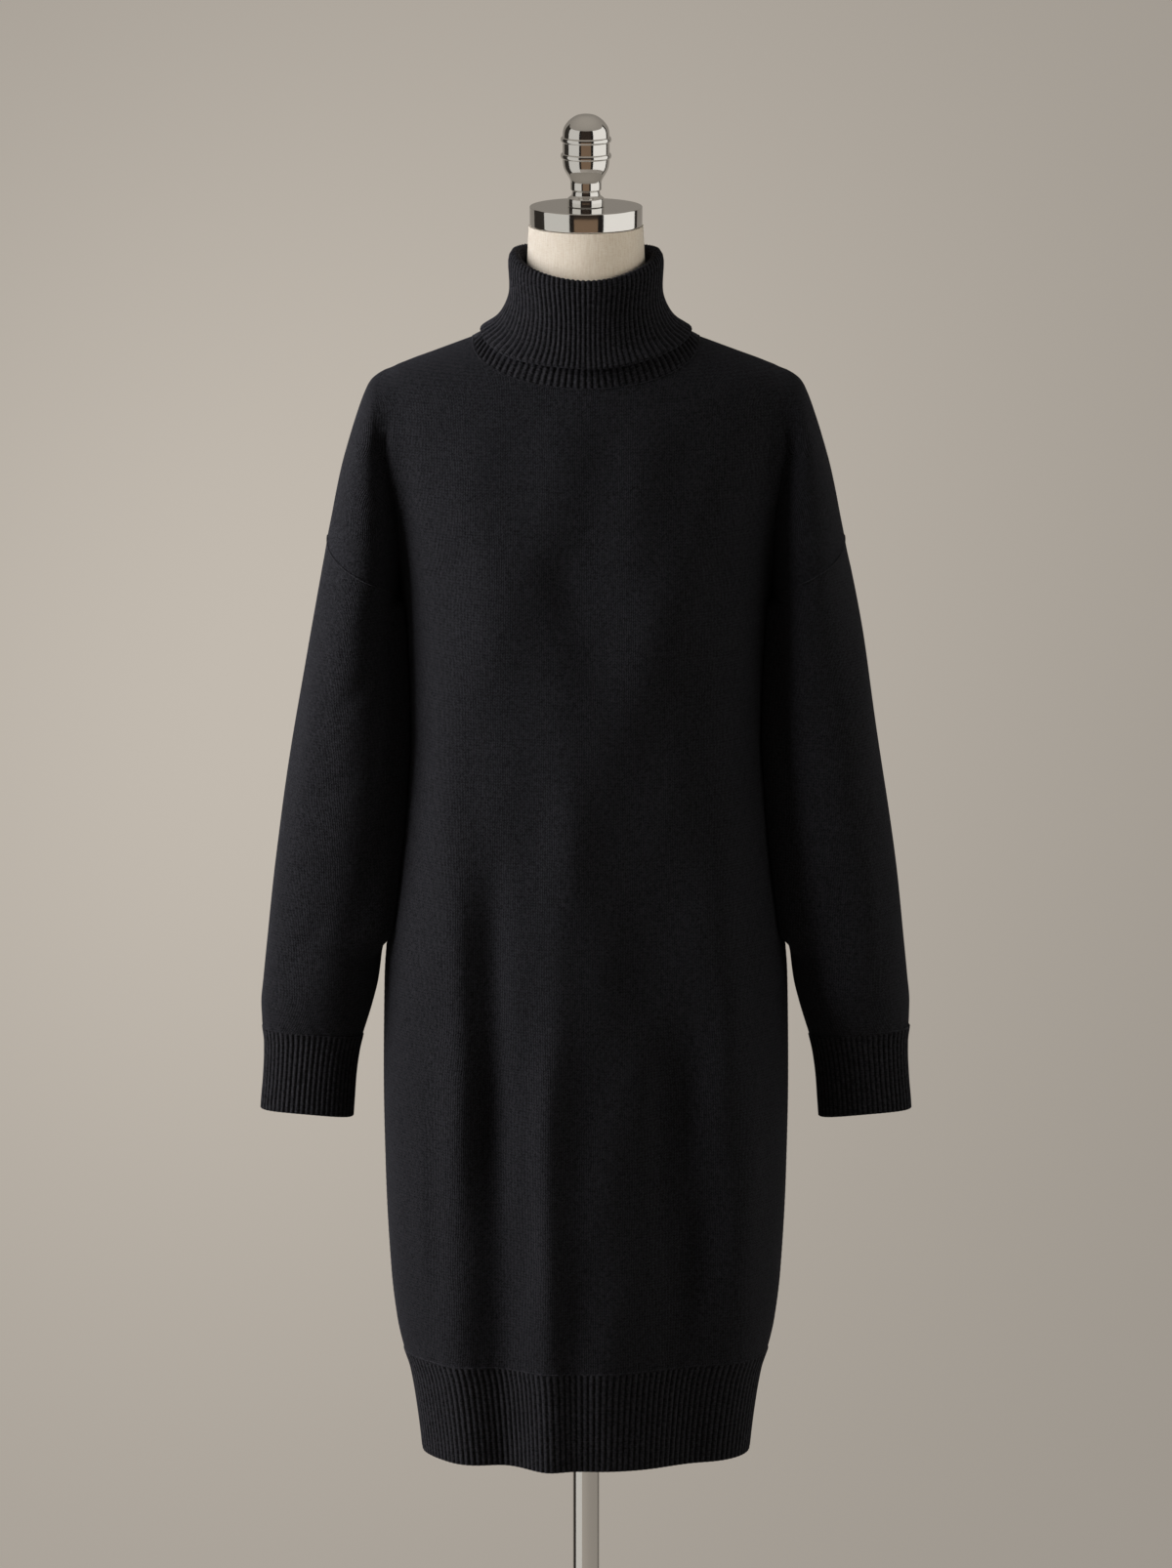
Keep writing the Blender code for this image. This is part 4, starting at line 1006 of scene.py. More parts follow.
def add_collar(name):
    count = COLLAR_RIBS * RIB_COLUMNS
    angles = full_turn(count)
    rows, seam_normal = collar_rows(angles)
    grid, length = smooth_rows(rows, COLLAR_ROWS)
    # The roll and the turned-down part aren't quite even round the neck.
    far = np.linspace(0, 1, COLLAR_ROWS)
    loose = smooth_step((far - WAVES_FROM) / WAVES_BAND)[:, None]
    wave = sum(rise * np.sin(waves * angles + phase) for waves, rise, phase in COLLAR_WAVES)
    grid[:, :, 2] += loose * wave
    around = np.roll(grid, -1, axis=1) - np.roll(grid, 1, axis=1)
    normal = unit(np.cross(around, np.gradient(grid, axis=0)))
    turn = smooth_step(far / COLLAR_TURN_BAND)[:, None, None]
    normal = unit(seam_normal * (1 - turn) + normal * turn)
    ribs = np.arange(count + 1) / RIB_COLUMNS
    relief = rib_profile(ribs[:-1])
    half = COLLAR_CLOTH / 2
    rings, flat = [], []
    for place in band_section(1.0, COLLAR_LIP, COLLAR_ROWS, inner_relief=-1.0):
        i = place.along * (COLLAR_ROWS - 1)
        low = min(int(i), COLLAR_ROWS - 2)
        middle = grid[low] * (1 - i + low) + grid[low + 1] * (i - low)
        out = normal[low] * (1 - i + low) + normal[low + 1] * (i - low)
        offset = half * place.side + place.relief * relief
        rings.append(middle + out * offset[:, None])
        flat.append(in_columns(ribs * RIB_FLAT_PITCH, np.full(count + 1, place.along * length)))
    return add_rings(name, rings, flat, closed=True, sharp=60)


# Linked seams: a fine raised cord where two pieces of knit are joined

SEAM_WIDTH, SEAM_HEIGHT, SEAM_SINK = 0.0020, 0.0009, 0.0007
CORD_SIDES = 8
NECK_POINTS, DROP_POINTS, CUFF_POINTS = 700, 520, 360
HEM_POINTS, SIDE_POINTS, SHOULDER_POINTS = 500, 420, 360
# How far below the underarm and the neck the upright seams stop
UNDERARM_STOP, NECK_STOP = 0.002, 0.001
LINK_LENGTH, LINK_WAIST, LINK_SWELL = 0.0026, 0.84, 0.16


def add_cord_seam(name, path, normals, closed):
    """A low cord of links along a path on the cloth."""
    if closed:
        tangents = np.roll(path, -1, axis=0) - np.roll(path, 1, axis=0)
    else:
        tangents = np.gradient(path, axis=0)
    across = unit(np.cross(unit(tangents), normals))
    along = arc_lengths(path)
    link = LINK_WAIST + LINK_SWELL * np.abs(np.sin(math.pi * along / LINK_LENGTH))
    turns = np.linspace(0, 2 * math.pi, CORD_SIDES + 1)
    cosines, sines = np.cos(turns[:-1, None]), np.sin(turns[:-1, None])
    rings = []
    for middle, sideways, normal, size in zip(path, across, normals, link):
        circle = cosines * sideways * SEAM_WIDTH / 2 + sines * normal * SEAM_HEIGHT
        rings.append(middle + size * circle)
    around = turns / (2 * math.pi) * 3 * SEAM_WIDTH
    flat = [in_columns(around, np.full(len(turns), at)) for at in along]
    return add_rings(name, rings, flat, closed)


# The dress form and its stand

FORM_COLUMNS = 128
FORM_ROWS, SHOULDER_ROWS, NECK_ROWS = 56, 46, 26


def section_ring(angles, z, half_width, front, back, squareness):
    """A ring with the section's curve of the tables, at one height."""
    x = half_width * np.sin(angles)
    share = np.abs(np.sin(angles)) ** squareness
    depth = np.where(np.cos(angles) >= 0, -front, back) * np.sqrt(1 - share)
    return in_columns(x, depth, np.full(len(angles), z))


def form_shoulder_ring(angles, level):
    """A ring of the form's shoulders, under the cloth's surface at this height."""
    half_width = body_half_width(level) - FORM_SET_IN
    front = body_depth_of[FRONT](level) - FORM_SET_IN
    back = body_depth_of[BACK](level) - FORM_SET_IN
    return section_ring(angles, level - FORM_DROP, half_width, front, back, body_squareness(level))


def add_form(name):
    angles = full_turn(FORM_COLUMNS)
    widths, fronts, backs = (curve(FORM, key) for key in ("half_width", "front", "back"))
    rings = [
        section_ring(angles, z, float(widths(z)), float(fronts(z)), float(backs(z)), FORM_SQUARENESS)
        for z in np.linspace(FORM[0].z, FORM[-1].z, FORM_ROWS)
    ]
    given = np.arange(len(FORM_SHOULDER_LEVELS))
    levels = np.interp(np.linspace(0, given[-1], SHOULDER_ROWS), given, FORM_SHOULDER_LEVELS)
    rings += [form_shoulder_ring(angles, float(level)) for level in levels]
    radius = curve(FORM_NECK, "radius")
    for z in np.linspace(FORM_NECK[0].z, FORM_NECK[-1].z, NECK_ROWS):
        r = float(radius(z))
        rings.append(section_ring(angles, z, r, r, r, 2))
    return add_rings(name, rings, sharp=50)


# Turned metal, as outlines of (radius, height). Corners are rounded in EDGE_STEPS, over at most EDGE_SHARE
# of the way to the next one.

TURNED_COLUMNS = 112
EDGE_STEPS, EDGE_SHARE = 5, 0.45
BEAD_STEPS, BEAD_FULLNESS = 13, 0.8
POLE_ROWS = 12
CURVE_STEPS = 4


def rounded(points, radius):
    """The outline with each corner inside it rounded off."""
    made = [points[0]]
    for before, corner, after in zip(points, points[1:], points[2:]):
        corner_at = np.array(corner)
        ways = [np.array(before) - corner_at, np.array(after) - corner_at]
        reach = [min(radius, EDGE_SHARE * np.linalg.norm(way)) for way in ways]
        start, end = (corner_at + way / np.linalg.norm(way) * far for way, far in zip(ways, reach))
        for t in np.linspace(0, 1, EDGE_STEPS):
            made.append(tuple((1 - t) ** 2 * start + 2 * t * (1 - t) * corner_at + t**2 * end))
    made.append(points[-1])
    return made


def through(points):
    """More points along a smooth curve through the given ones."""
    places = np.array([points[0], *points, points[-1]], float)
    made = []
    for i in range(len(points) - 1):
        for t in np.linspace(0, 1, CURVE_STEPS, endpoint=False):
            made.append(tuple(spline_point(places[i : i + 4], t)))
    return made + [tuple(places[-1])]


def add_turned(name, outline, base_z=0.0):
    """A solid turned about the z axis."""
    angles = full_turn(TURNED_COLUMNS)
    round_it = in_columns(np.cos(angles), np.sin(angles), np.ones(TURNED_COLUMNS))
    rings = [round_it * [radius, radius, base_z + z] for radius, z in outline]
    return add_rings(name, rings, sharp=35)


CAP_RADIUS, CAP_BOTTOM_Z, CAP_TOP_Z, CAP_BEVEL = 0.0487, 1.5147, 1.5312, 0.0012
CAP_FLAT_RADIUS = 0.0470
FINIAL_BEVEL, BASE_BEVEL = 0.0009, 0.0016
POLE_RADIUS, POLE_TOP_Z = 0.0120, 0.7597
BASE_RADIUS, BASE_BOSS_RADIUS, BASE_BOSS_TOP_Z = 0.1900, 0.0200, 0.0450
BASE_OUTLINE = [
    (0.1870, 0.0), (BASE_RADIUS, 0.0), (BASE_RADIUS, 0.0070), (0.1870, 0.0100), (0.0500, 0.0150),
    (BASE_BOSS_RADIUS, 0.0200), (BASE_BOSS_RADIUS, BASE_BOSS_TOP_Z), (0.0125, BASE_BOSS_TOP_Z),
]
# The finial's outline above the cap's top, in the parts that it is turned in
FINIAL_FOOT = [
    (0.0150, 0.0003), (0.0159, 0.0003), (0.0159, 0.0070), (0.0124, 0.0096), (0.0118, 0.0137),
    (0.0134, 0.0144), (0.0134, 0.0208),
]
FINIAL_BULB = [
    (0.0134, 0.0212), (0.0142, 0.0235), (0.0157, 0.0260), (0.0172, 0.0285), (0.0187, 0.0315),
    (0.0196, 0.0345), (0.0201, 0.0380), (0.0203, 0.0412),
]
FINIAL_BEAD_Z = [0.0438, 0.0580]
FINIAL_BEAD_RADIUS, FINIAL_BEAD_HALF = 0.0219, 0.0024
FINIAL_DRUM_RADIUS = 0.0203
FINIAL_DOME = [
    (0.0203, 0.0606), (0.0202, 0.0628), (0.0200, 0.0650), (0.0191, 0.0684), (0.0172, 0.0716),
    (0.0144, 0.0748), (0.0110, 0.0774), (0.0076, 0.0791), (0.0040, 0.0799), (0.0010, 0.0801),
]


def bead(height):
    """A ring of nearly half-round section round the finial's drum."""
    rise = FINIAL_BEAD_RADIUS - FINIAL_DRUM_RADIUS
    made = []
    for turn in np.linspace(-math.pi / 2, math.pi / 2, BEAD_STEPS):
        radius = FINIAL_DRUM_RADIUS + rise * math.cos(turn) ** BEAD_FULLNESS
        made.append((radius, height + FINIAL_BEAD_HALF * math.sin(turn)))
    return made


def finial_outline():
    outline = rounded(FINIAL_FOOT, FINIAL_BEVEL) + through(FINIAL_BULB)
    for height in FINIAL_BEAD_Z:
        outline += bead(height)
    return outline + through(FINIAL_DOME)


def add_stand():
    """The cap, the finial, the pole and the base, in place of their plainer solids."""
    edge = [
        (CAP_FLAT_RADIUS, CAP_BOTTOM_Z),
        (CAP_RADIUS, CAP_BOTTOM_Z),
        (CAP_RADIUS, CAP_TOP_Z),
        (CAP_FLAT_RADIUS, CAP_TOP_Z),
    ]
    made = {"neck_cap": add_turned("cap_disc", rounded(edge, CAP_BEVEL))}
    made["finial"] = add_turned("turned_knob", finial_outline(), CAP_TOP_Z)
    heights = np.linspace(BASE_BOSS_TOP_Z + SEAM_GAP, POLE_TOP_Z, POLE_ROWS)
    made["pole"] = add_turned("stand_tube", [(POLE_RADIUS, z) for z in heights])
    made["base"] = add_turned("round_foot", rounded(BASE_OUTLINE, BASE_BEVEL))
    return made


# The pieces

garment = {
    "front_panel": add_panel("front_cloth", FRONT),
    "back_panel": add_panel("back_cloth", BACK),
    "front_hem_rib": add_hem_rib("front_hem_band", FRONT),
    "back_hem_rib": add_hem_rib("back_hem_band", BACK),
    "roll_collar": add_collar("rolled_neck"),
}
for side, hand in SIDES:
    garment[f"{side}_sleeve"] = add_sleeve(f"{side}_arm_cloth", side, hand)
    garment[f"{side}_cuff"] = add_cuff(f"{side}_wrist_band", hand)
stand = add_stand()
form = add_form("linen_form")


# Where the seams run. Each function gives the path of a seam and its outward directions.


def neck_seam_path():
    return neck_seam_ring(full_turn(NECK_POINTS))


def round_sleeve(angles, z, hand):
    path = arm_ring(angles, z, 0.0)
    normals = arm_ring(angles, z, 1.0) - path
    return path * [hand, 1, 1], normals * [hand, 1, 1]


def drop_seam_path(hand):
    """Round the sleeve, where the panels' lower edges and the sleeve meet."""
    angles = full_turn(DROP_POINTS)
    return round_sleeve(angles, drop_seam_z(angles) - SEAM_GAP / 2, hand)


def cuff_seam_path(hand):
    angles = cuff_angles(CUFF_POINTS)[:-1]
    return round_sleeve(angles, cuff_z(angles, CUFF_TOP_Z + SEAM_GAP / 2), hand)


def hem_seam_path(face):
    angles = hem_angles(face, HEM_POINTS)
    return hem_line(angles, np.full(len(angles), HEM_RIB_TOP_Z + SEAM_GAP / 2), face)


def upright_seam_path(hand, half_width, low, high, count):
    """A seam in the plane y = 0, up the outline of that half width and a little sunk into it."""
    z = np.linspace(low, high, count)
    points = in_columns(half_width(z), np.zeros(count), z)
    along = np.gradient(points, axis=0)
    normal = unit(in_columns(along[:, 2], np.zeros(count), -along[:, 0]))
    return (points - normal * SEAM_SINK) * [hand, 1, 1], normal * [hand, 1, 1]


def side_seam_path(hand):
    low, high = HEM_Z + HEM_CORNER_RISE, UNDERARM_Z - UNDERARM_STOP
    return upright_seam_path(hand, body_half_width, low, high, SIDE_POINTS)


def shoulder_seam_path(hand):
    """From the drop seam's outer end over the arm and the shoulder to the neck."""
    low, high = DROP_SEAM_OUTER_Z, NECK_SIDE_Z - NECK_STOP
    return upright_seam_path(hand, outline_half_width, low, high, SHOULDER_POINTS)


seams = [add_cord_seam("neck_linking", *neck_seam_path(), closed=True)]
for side, hand in SIDES:
    seams += [
        add_cord_seam(f"{side}_drop_linking", *drop_seam_path(hand), closed=True),
        add_cord_seam(f"{side}_cuff_linking", *cuff_seam_path(hand), closed=True),
        add_cord_seam(f"{side}_side_linking", *side_seam_path(hand), closed=False),
        add_cord_seam(f"{side}_shoulder_linking", *shoulder_seam_path(hand), closed=False),
    ]
for label, face in (("front", FRONT), ("back", BACK)):
    seams.append(add_cord_seam(f"{label}_hem_linking", *hem_seam_path(face), closed=False))


# Materials


def set_inputs(node, values):
    for name, value in values.items():
        node.inputs[name].default_value = value


def new_material(name, colour, roughness, metallic=0.0):
    """A material with its node tree and its shader."""
    made = bpy.data.materials.new(name)
    made.use_nodes = True
    shader = made.node_tree.nodes["Principled BSDF"]
    set_inputs(shader, {"Base Color": (*colour, 1), "Roughness": roughness, "Metallic": metallic})
    return made, made.node_tree, shader


def math_node(tree, operation, *values):
    """A math node whose inputs are numbers or other nodes' outputs."""
    node = tree.nodes.new("ShaderNodeMath")
    node.operation = operation
    for socket, value in zip(node.inputs, values):
        if isinstance(value, (int, float)):
            socket.default_value = value
        else:
            tree.links.new(value, socket)
    return node.outputs[0]


def split_node(tree, vector):
    """The three parts of a vector."""
    node = tree.nodes.new("ShaderNodeSeparateXYZ")
    tree.links.new(vector, node.inputs[0])
    return node.outputs


def place_node(tree, space):
    return tree.nodes.new("ShaderNodeTexCoord").outputs[space]


def stretch_node(tree, vector, scale):
    node = tree.nodes.new("ShaderNodeMapping")
    set_inputs(node, {"Scale": scale})
    tree.links.new(vector, node.inputs["Vector"])
    return node.outputs[0]


def noise_node(tree, coordinates, scale, detail=2.0, roughness=0.5):
    node = tree.nodes.new("ShaderNodeTexNoise")
    set_inputs(node, {"Scale": scale, "Detail": detail, "Roughness": roughness})
    tree.links.new(coordinates, node.inputs["Vector"])
    return node.outputs["Fac"]


def ramp_node(tree, value, stops):
    """A colour ramp through (place, colour) stops."""
    node = tree.nodes.new("ShaderNodeValToRGB")
    tree.links.new(value, node.inputs["Fac"])
    elements = node.color_ramp.elements
    while len(elements) < len(stops):
        elements.new(0.5)
    for element, (place, colour) in zip(elements, stops):
        element.position = place
        element.color = (*colour, 1)
    return node.outputs["Color"]


def bump_node(tree, height, distance, strength, below=None):
    node = tree.nodes.new("ShaderNodeBump")
    set_inputs(node, {"Strength": strength, "Distance": distance})
    tree.links.new(height, node.inputs["Height"])
    if below is not None:
        tree.links.new(below, node.inputs["Normal"])
    return node.outputs["Normal"]


# The knit's tones, from painted shade in the gaps between its hairs to a painted highlight on the hairs
# that catch the light,
# over its own random felted grain: where each one lies on the scale of stitches and felt together, and its
# share of the knit's colour
KNIT_GRAIN_AND_PAINTED_LIGHT = [(0.48, 0.25), (0.66, 1.70), (0.86, 5.20)]


def knit_material(name, wale, course, colour, depth, felting, painted_groove_shade):
    """Black brushed knit: rows of V stitches under a felted, slightly hairy surface, with painted shade
    between the stitches and in the grooves between ribs.
    """
    made, tree, shader = new_material(name, colour, 0.95)
    calc = partial(math_node, tree)
    place = tree.nodes.new("ShaderNodeUVMap")
    place.uv_map = KNIT_UV
    place_across, place_along, _ = split_node(tree, place.outputs["UV"])
    solid = place_node(tree, "Object")
    wander = noise_node(tree, solid, scale=55)
    across = calc("DIVIDE", place_across, wale)
    across = calc("MULTIPLY_ADD", wander, 0.55, across)
    half = calc("ABSOLUTE", calc("SUBTRACT", calc("FRACT", across), 0.5))
    legs = calc("ABSOLUTE", calc("SINE", calc("MULTIPLY", half, 2 * math.pi)))
    along = calc("DIVIDE", place_along, course)
    along = calc("ADD", along, calc("MULTIPLY", half, 1.5))
    loops = calc("SINE", calc("MULTIPLY", along, 2 * math.pi))
    loops = calc("MULTIPLY_ADD", loops, 0.13, 0.87)
    stitches = calc("MULTIPLY", calc("POWER", legs, 0.7), loops)
    felt = noise_node(tree, solid, scale=440, detail=3, roughness=0.75)
    hair = noise_node(tree, solid, scale=2100, roughness=0.6)
    felted = calc("MULTIPLY_ADD", hair, 0.35, felt)
    normal = bump_node(tree, stitches, depth, 0.8)
    normal = bump_node(tree, felted, felting, 0.9, normal)
    tree.links.new(normal, shader.inputs["Normal"])
    # The colour is partly the felt's random grain and partly painted light: the stitches paint shade
    # between the wales and light on their legs.
    tone = calc("MULTIPLY_ADD", stitches, 0.38, calc("MULTIPLY", felted, 0.72))
    # Painted shade in the grooves between ribs: the colour darkens where the rib's crest falls away.
    ribs = calc("MULTIPLY", place_across, math.pi / RIB_FLAT_PITCH)
    crest = calc("ABSOLUTE", calc("SINE", ribs))
    tone = calc("MULTIPLY_ADD", calc("SUBTRACT", crest, 1.0), painted_groove_shade, tone)
    stops = [(place, tuple(share * c for c in colour)) for place, share in KNIT_GRAIN_AND_PAINTED_LIGHT]
    tree.links.new(ramp_node(tree, tone, stops), shader.inputs["Base Color"])
    set_inputs(shader, {"Specular IOR Level": 0.08, "Sheen Weight": 0.09, "Sheen Roughness": 0.38})
    set_inputs(shader, {"Sheen Tint": (0.80, 0.82, 1.0, 1)})
    return made


# From thread to thread of the linen, and the neck's radius, which the threads are counted round
THREAD_PITCH, LINEN_RADIUS = 0.00062, 0.055


def linen_material(name):
    """Plain-woven linen: threads over and under each other, with thicker slubs."""
    made, tree, shader = new_material(name, (0.66, 0.58, 0.47), 0.85)
    calc = partial(math_node, tree)
    solid = place_node(tree, "Object")
    x, y, z = split_node(tree, solid)
    turn = calc("ARCTAN2", y, x)
    warp = calc("MULTIPLY", turn, LINEN_RADIUS * 2 * math.pi / THREAD_PITCH / 2)
    weft = calc("MULTIPLY", z, 2 * math.pi / THREAD_PITCH / 2)
    height = calc("ABSOLUTE", calc("MULTIPLY", calc("SINE", warp), calc("SINE", weft)))
    level, upright = (stretch_node(tree, solid, (1, 1, scale)) for scale in (9, 0.09))
    slubs = noise_node(tree, level, scale=260, detail=3, roughness=0.6)
    threads = noise_node(tree, upright, scale=900, roughness=0.6)
    mottle = calc("MULTIPLY_ADD", threads, 0.5, calc("MULTIPLY", slubs, 0.5))
    relief = calc("MULTIPLY_ADD", mottle, 0.6, height)
    tree.links.new(bump_node(tree, relief, 0.00022, 0.8), shader.inputs["Normal"])
    tone = calc("MULTIPLY_ADD", height, 0.16, mottle)
    stops = [(0.30, (0.70, 0.60, 0.47)), (0.55, (0.88, 0.80, 0.67)), (0.78, (0.95, 0.90, 0.80))]
    tree.links.new(ramp_node(tree, tone, stops), shader.inputs["Base Color"])
    set_inputs(shader, {"Sheen Weight": 0.15})
    return made


def chrome_material(name):
    """Polished metal with fine wear in its gloss."""
    made, tree, shader = new_material(name, (0.80, 0.79, 0.77), 0.06, 1.0)
    calc = partial(math_node, tree)
    solid = place_node(tree, "Object")
    smears = noise_node(tree, solid, scale=45, detail=4, roughness=0.6)
    fine = noise_node(tree, solid, scale=1400, roughness=0.6)
    wear = calc("MULTIPLY_ADD", fine, 0.03, calc("MULTIPLY", smears, 0.09))
    tree.links.new(calc("ADD", wear, 0.01), shader.inputs["Roughness"])
    tree.links.new(bump_node(tree, fine, 0.00001, 0.3), shader.inputs["Normal"])
    return made


# A knit: from wale to wale and course to course, its colour, how deep its stitches and its felt are,
# and how much painted shade darkens the grooves between ribs
Knit = namedtuple("Knit", "name wale course colour depth felting groove")
JERSEY = Knit("brushed_jersey", 0.0030, 0.0024, (0.0075, 0.0076, 0.0087), 0.00080, 0.00070, 0.0)
RIB = Knit("brushed_rib", 0.0016, 0.0021, (0.0112, 0.0112, 0.0127), 0.00022, 0.00035, 0.20)
jersey, rib = knit_material(*JERSEY), knit_material(*RIB)
linen = linen_material("natural_linen")
chrome = chrome_material("polished_chrome")

RIBBED = ("roll_collar", "front_hem_rib", "back_hem_rib", "left_cuff", "right_cuff")
for node, piece in garment.items():
    piece.data.materials.append(rib if node in RIBBED else jersey)
    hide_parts(node)
    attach(piece, "root")
for piece in seams:
    piece.data.materials.append(rib)
    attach(piece, "root")
form.data.materials.append(linen)
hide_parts("form_torso")
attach(form, "root")
for node, piece in stand.items():
    piece.data.materials.append(chrome)
    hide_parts(node)
    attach(piece, "root")

# Cloth that was cut flat: width and length of each piece, and the flat area of what isn't a rectangle

Cut = namedtuple("Cut", "node width length area held")
CUTS = [
    Cut("front_panel", 0.560, 0.915, 0.405, "hung"),
    Cut("back_panel", 0.560, 0.921, 0.400, "hung"),
    Cut("front_hem_rib", 0.385, 0.092, None, "hung"),
    Cut("back_hem_rib", 0.385, 0.092, None, "hung"),
    Cut("left_sleeve", 0.365, 0.445, 0.138, "hung"),
    Cut("right_sleeve", 0.365, 0.445, 0.138, "hung"),
    Cut("left_cuff", 0.210, 0.075, None, "hung"),
    Cut("right_cuff", 0.210, 0.075, None, "hung"),
    Cut("roll_collar", 0.440, 0.190, None, "folded"),
]
for cut in CUTS:
    piece = garment[cut.node]

# The studio: a large pale floor that glows with painted light, soft lights, and glowing screens that only
# the metal mirrors as painted reflections

CAMERA_PITCH = math.radians(11.5)
CAMERA_DISTANCE = 10.0
CAMERA_TARGET = Vector((0.0, 0.0, 1.023))
LENS, SENSOR = 263.7, 36.0
FLOOR_SIZE, FLOOR_TONE = 90.0, 0.10
PAPER = (1.0, 0.908, 0.795)
# The pool of light painted on the floor behind the stand, as glow: its middle and how bright it is there
# and far off, half its width beside the stand and how that grows with the distance behind it, and how it
# fades in depth
POOL_X, POOL_Y = -0.42, 5.8
POOL_BRIGHT, POOL_DIM = 0.535, 0.240
POOL_HALF_WIDTH, POOL_SPREAD = 0.62, 0.085
POOL_LEAD, POOL_FADE = 2.0, 1.22
# How bright the room is near the floor's level and straight up
ROOM_LOW, ROOM_HIGH = 0.25, 0.36
# Matt surfaces take only this share of the light of the floor and the room, as between black screens.
FILL = 0.12


def aim(thing, target):
    thing.rotation_euler = (Vector(target) - thing.location).to_track_quat("-Z", "Y").to_euler()


def add_camera():
    data = bpy.data.cameras.new("camera")
    data.sensor_width = SENSOR
    data.lens = LENS
    data.clip_end = 200
    made = add_object("camera", data)
    back = Vector((0, -math.cos(CAMERA_PITCH), math.sin(CAMERA_PITCH)))
    made.location = CAMERA_TARGET + CAMERA_DISTANCE * back
    aim(made, CAMERA_TARGET)
    bpy.context.scene.camera = made


# A soft light: its middle, what it faces, its width and height, its brightness and its colour
Softbox = namedtuple("Softbox", "name place target size brightness colour")
SOFTBOXES = [
    Softbox("left_key", (-2.15, -0.66, 1.70), (0, 0, 1.15), (1.2, 3.0), 6.0, (1.0, 0.975, 0.985)),
    Softbox("right_panel", (2.14, -0.51, 1.55), (0, 0, 1.15), (2.4, 3.0), 0.52, (1.0, 0.98, 0.95)),
]
# A light from behind for the garment and the form alone, and a small warm one for the linen neck alone
BACK_LIGHT = Softbox("back_light", (-1.60, 2.60, 1.70), (0, 0, 1.10), (1.8, 2.6), 3.0, (1.0, 0.98, 0.97))
NECK_LIGHT = Softbox("neck_light", (0.95, -1.75, 1.75), (0, 0, 1.49), (0.8, 0.8), 6.5, (1.0, 0.90, 0.78))


def add_softbox(box):
    data = bpy.data.lights.new(box.name, "AREA")
    data.shape = "RECTANGLE"
    data.size, data.size_y = box.size
    data.energy = box.brightness * math.pi * box.size[0] * box.size[1]
    data.color = box.colour
    made = add_object(box.name, data)
    made.location = box.place
    aim(made, box.target)
    made.visible_camera = made.visible_glossy = False
    return made


def add_linked_softbox(box, lit):
    """A softbox that lights only some pieces."""
    made = add_softbox(box)
    receivers = bpy.data.collections.new(f"lit_by_{box.name}")
    for piece in lit:
        receivers.objects.link(piece)
    made.light_linking.receiver_collection = receivers


def fill_share(tree):
    """1 for what is seen or mirrored, and FILL for the light that falls on matt surfaces."""
    calc = partial(math_node, tree)
    matt = tree.nodes.new("ShaderNodeLightPath").outputs["Is Diffuse Ray"]
    return calc("SUBTRACT", 1.0, calc("MULTIPLY", matt, 1 - FILL))


def add_floor():
    half = FLOOR_SIZE / 2
    mesh = bpy.data.meshes.new("floor")
    corners = [(-half, -half, 0), (half, -half, 0), (half, half, 0), (-half, half, 0)]
    mesh.from_pydata(corners, [], [(0, 1, 2, 3)])
    material, tree, shader = new_material("floor", tuple(FLOOR_TONE * c for c in PAPER), 0.95)
    calc = partial(math_node, tree)
    set_inputs(shader, {"Specular IOR Level": 0.0, "Emission Color": (*PAPER, 1)})
    # The floor's glow is painted light: a pool, brightest behind the stand, that fades sideways and far
    # off.
    x, y, _ = split_node(tree, place_node(tree, "Object"))
    far = calc("MAXIMUM", y, 0.0)
    reach = calc("MULTIPLY_ADD", far, POOL_SPREAD, POOL_HALF_WIDTH)
    away_x = calc("DIVIDE", calc("SUBTRACT", x, POOL_X), reach)
    steps = calc("DIVIDE", calc("ADD", far, POOL_LEAD), POOL_Y + POOL_LEAD)
    away_y = calc("MULTIPLY", calc("LOGARITHM", steps, math.e), POOL_FADE)
    squares = [calc("MULTIPLY", away, away) for away in (away_x, away_y)]
    falloff = calc("ADD", 1.0, calc("ADD", *squares))
    painted_light_pool = calc("DIVIDE", POOL_BRIGHT - POOL_DIM, falloff)
    level = calc("ADD", painted_light_pool, POOL_DIM)
    tree.links.new(calc("MULTIPLY", level, fill_share(tree)), shader.inputs["Emission Strength"])
    mesh.materials.append(material)
    made = add_object("floor", mesh)
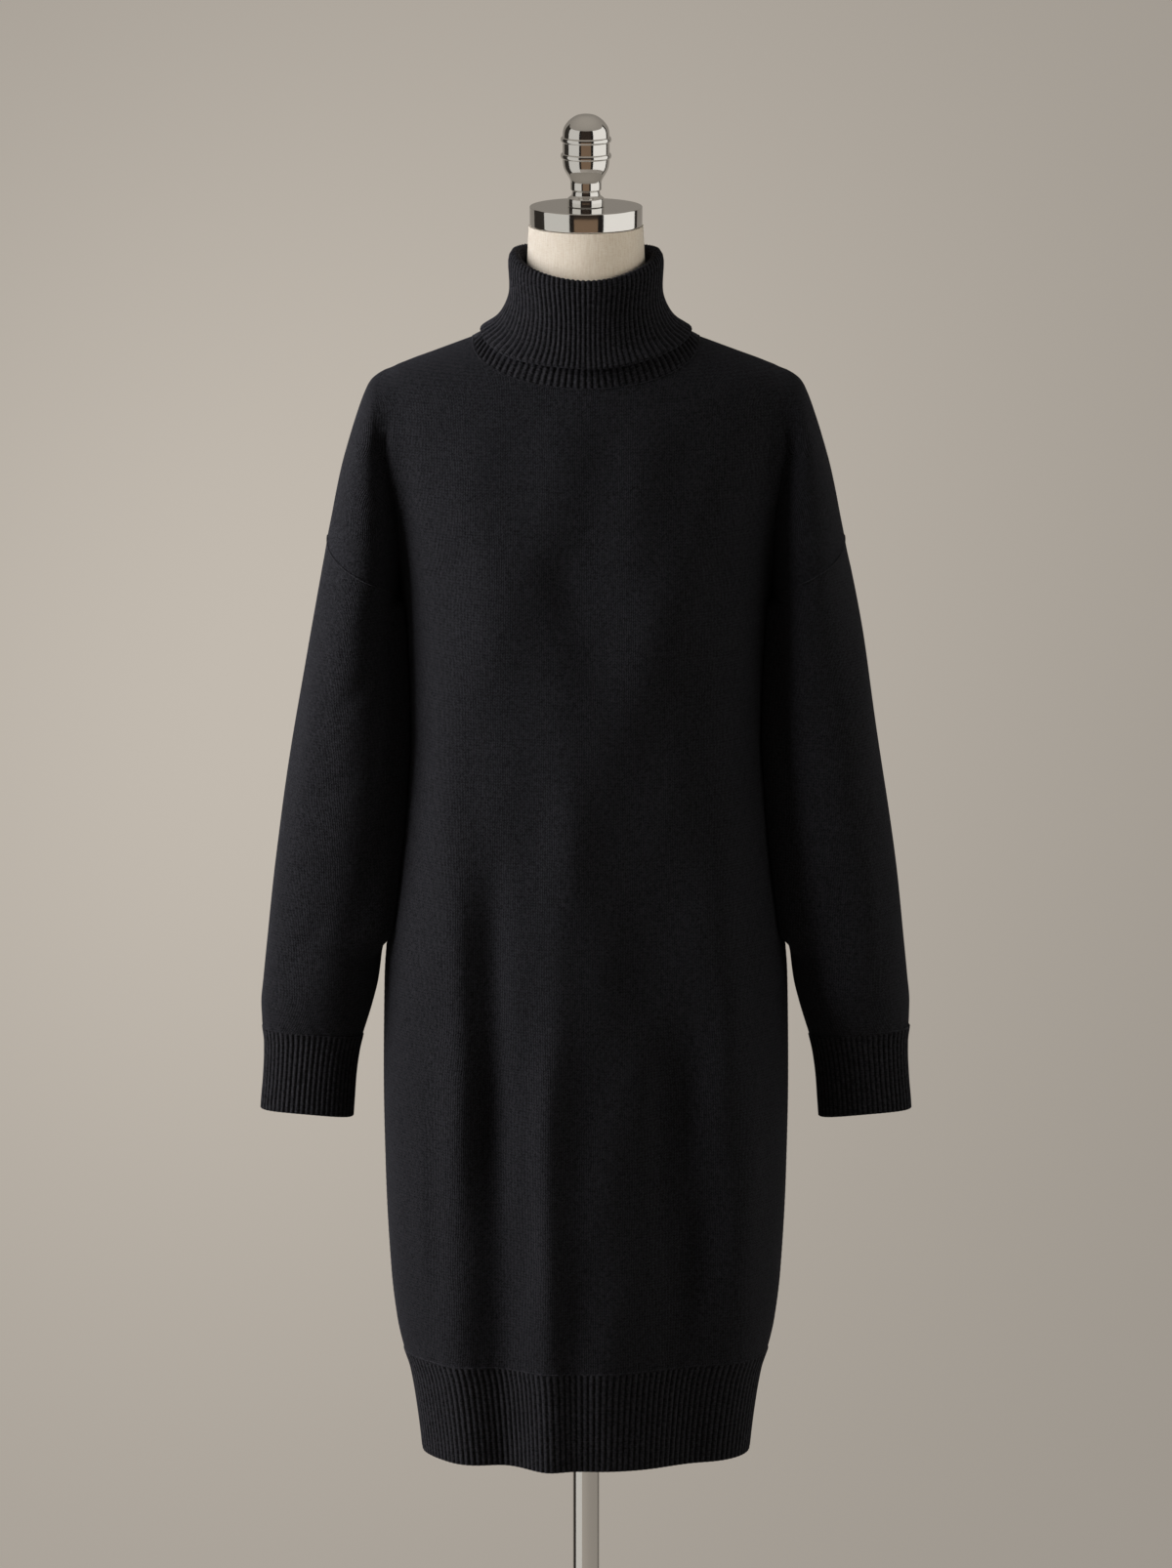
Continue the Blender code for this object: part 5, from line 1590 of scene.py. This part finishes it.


# Painted reflections, which only the metal mirrors: glowing upright screens round the stand, white ones in
# place of the softboxes and dark ones between them, some with a strip of floor before them.
# An azimuth is in degrees from the camera's side, and more than 0 to the right.
SCREENS = table("name azimuth_from azimuth_to low high floor_strip colour", [
    ("left_gap", -131, -94, 0.004, 3.2, True, (0.030, 0.026, 0.022)),
    ("left_white", -94, -34, 0.004, 3.2, True, (0.60, 0.58, 0.54)),
    ("front_left_edge", -34, -24, 0.004, 3.2, False, (0.016, 0.013, 0.011)),
    ("front_wood", -24, 24, 0.004, 1.25, False, (0.190, 0.125, 0.080)),
    ("front_dark", -24, 24, 1.25, 3.2, False, (0.030, 0.022, 0.017)),
    ("front_right_edge", 24, 36, 0.004, 3.2, False, (0.012, 0.010, 0.009)),
    ("right_white", 36, 117, 0.004, 3.2, False, (0.88, 0.85, 0.80)),
    ("right_gap", 117, 128, 0.004, 3.2, True, (0.030, 0.026, 0.022)),
])
SCREEN_REACH, STRIP_REACH = 2.7, 0.35
SCREEN_STEPS = 8


def add_screen(screen):
    """An arc of glowing screen that only the metal mirrors, as a painted reflection."""
    outline = [(SCREEN_REACH, screen.low), (SCREEN_REACH, screen.high)]
    if screen.floor_strip:
        outline.insert(0, (STRIP_REACH, screen.low))
    points = []
    for azimuth in np.radians(np.linspace(screen.azimuth_from, screen.azimuth_to, SCREEN_STEPS + 1)):
        points += [(reach * math.sin(azimuth), -reach * math.cos(azimuth), z) for reach, z in outline]
    faces, _ = grid_quads(SCREEN_STEPS + 1, len(outline))
    mesh = bpy.data.meshes.new(screen.name)
    mesh.from_pydata(points, [], [tuple(face) for face in faces.tolist()])
    material, _, shader = new_material(screen.name, (0.0, 0.0, 0.0), 1.0)
    set_inputs(shader, {"Specular IOR Level": 0.0, "Emission Color": (*screen.colour, 1)})
    set_inputs(shader, {"Emission Strength": 1.0})
    mesh.materials.append(material)
    made = add_object(screen.name, mesh)
    made.visible_camera = made.visible_diffuse = made.visible_shadow = False


def add_world():
    world = bpy.data.worlds.new("studio")
    world.use_nodes = True
    tree = world.node_tree
    background = tree.nodes["Background"]
    _, _, up = split_node(tree, place_node(tree, "Generated"))
    levels = [(0.0, ROOM_LOW), (0.35, ROOM_LOW), (1.0, ROOM_HIGH)]
    stops = [(place, tuple(level * c for c in PAPER)) for place, level in levels]
    tree.links.new(ramp_node(tree, up, stops), background.inputs["Color"])
    tree.links.new(fill_share(tree), background.inputs["Strength"])
    bpy.context.scene.world = world


add_camera()
add_floor()
add_world()
for box in SOFTBOXES:
    add_softbox(box)
add_linked_softbox(BACK_LIGHT, [form, *garment.values(), *seams])
add_linked_softbox(NECK_LIGHT, [form])
for screen in SCREENS:
    add_screen(screen)
bpy.context.scene.view_settings.view_transform = "Standard"
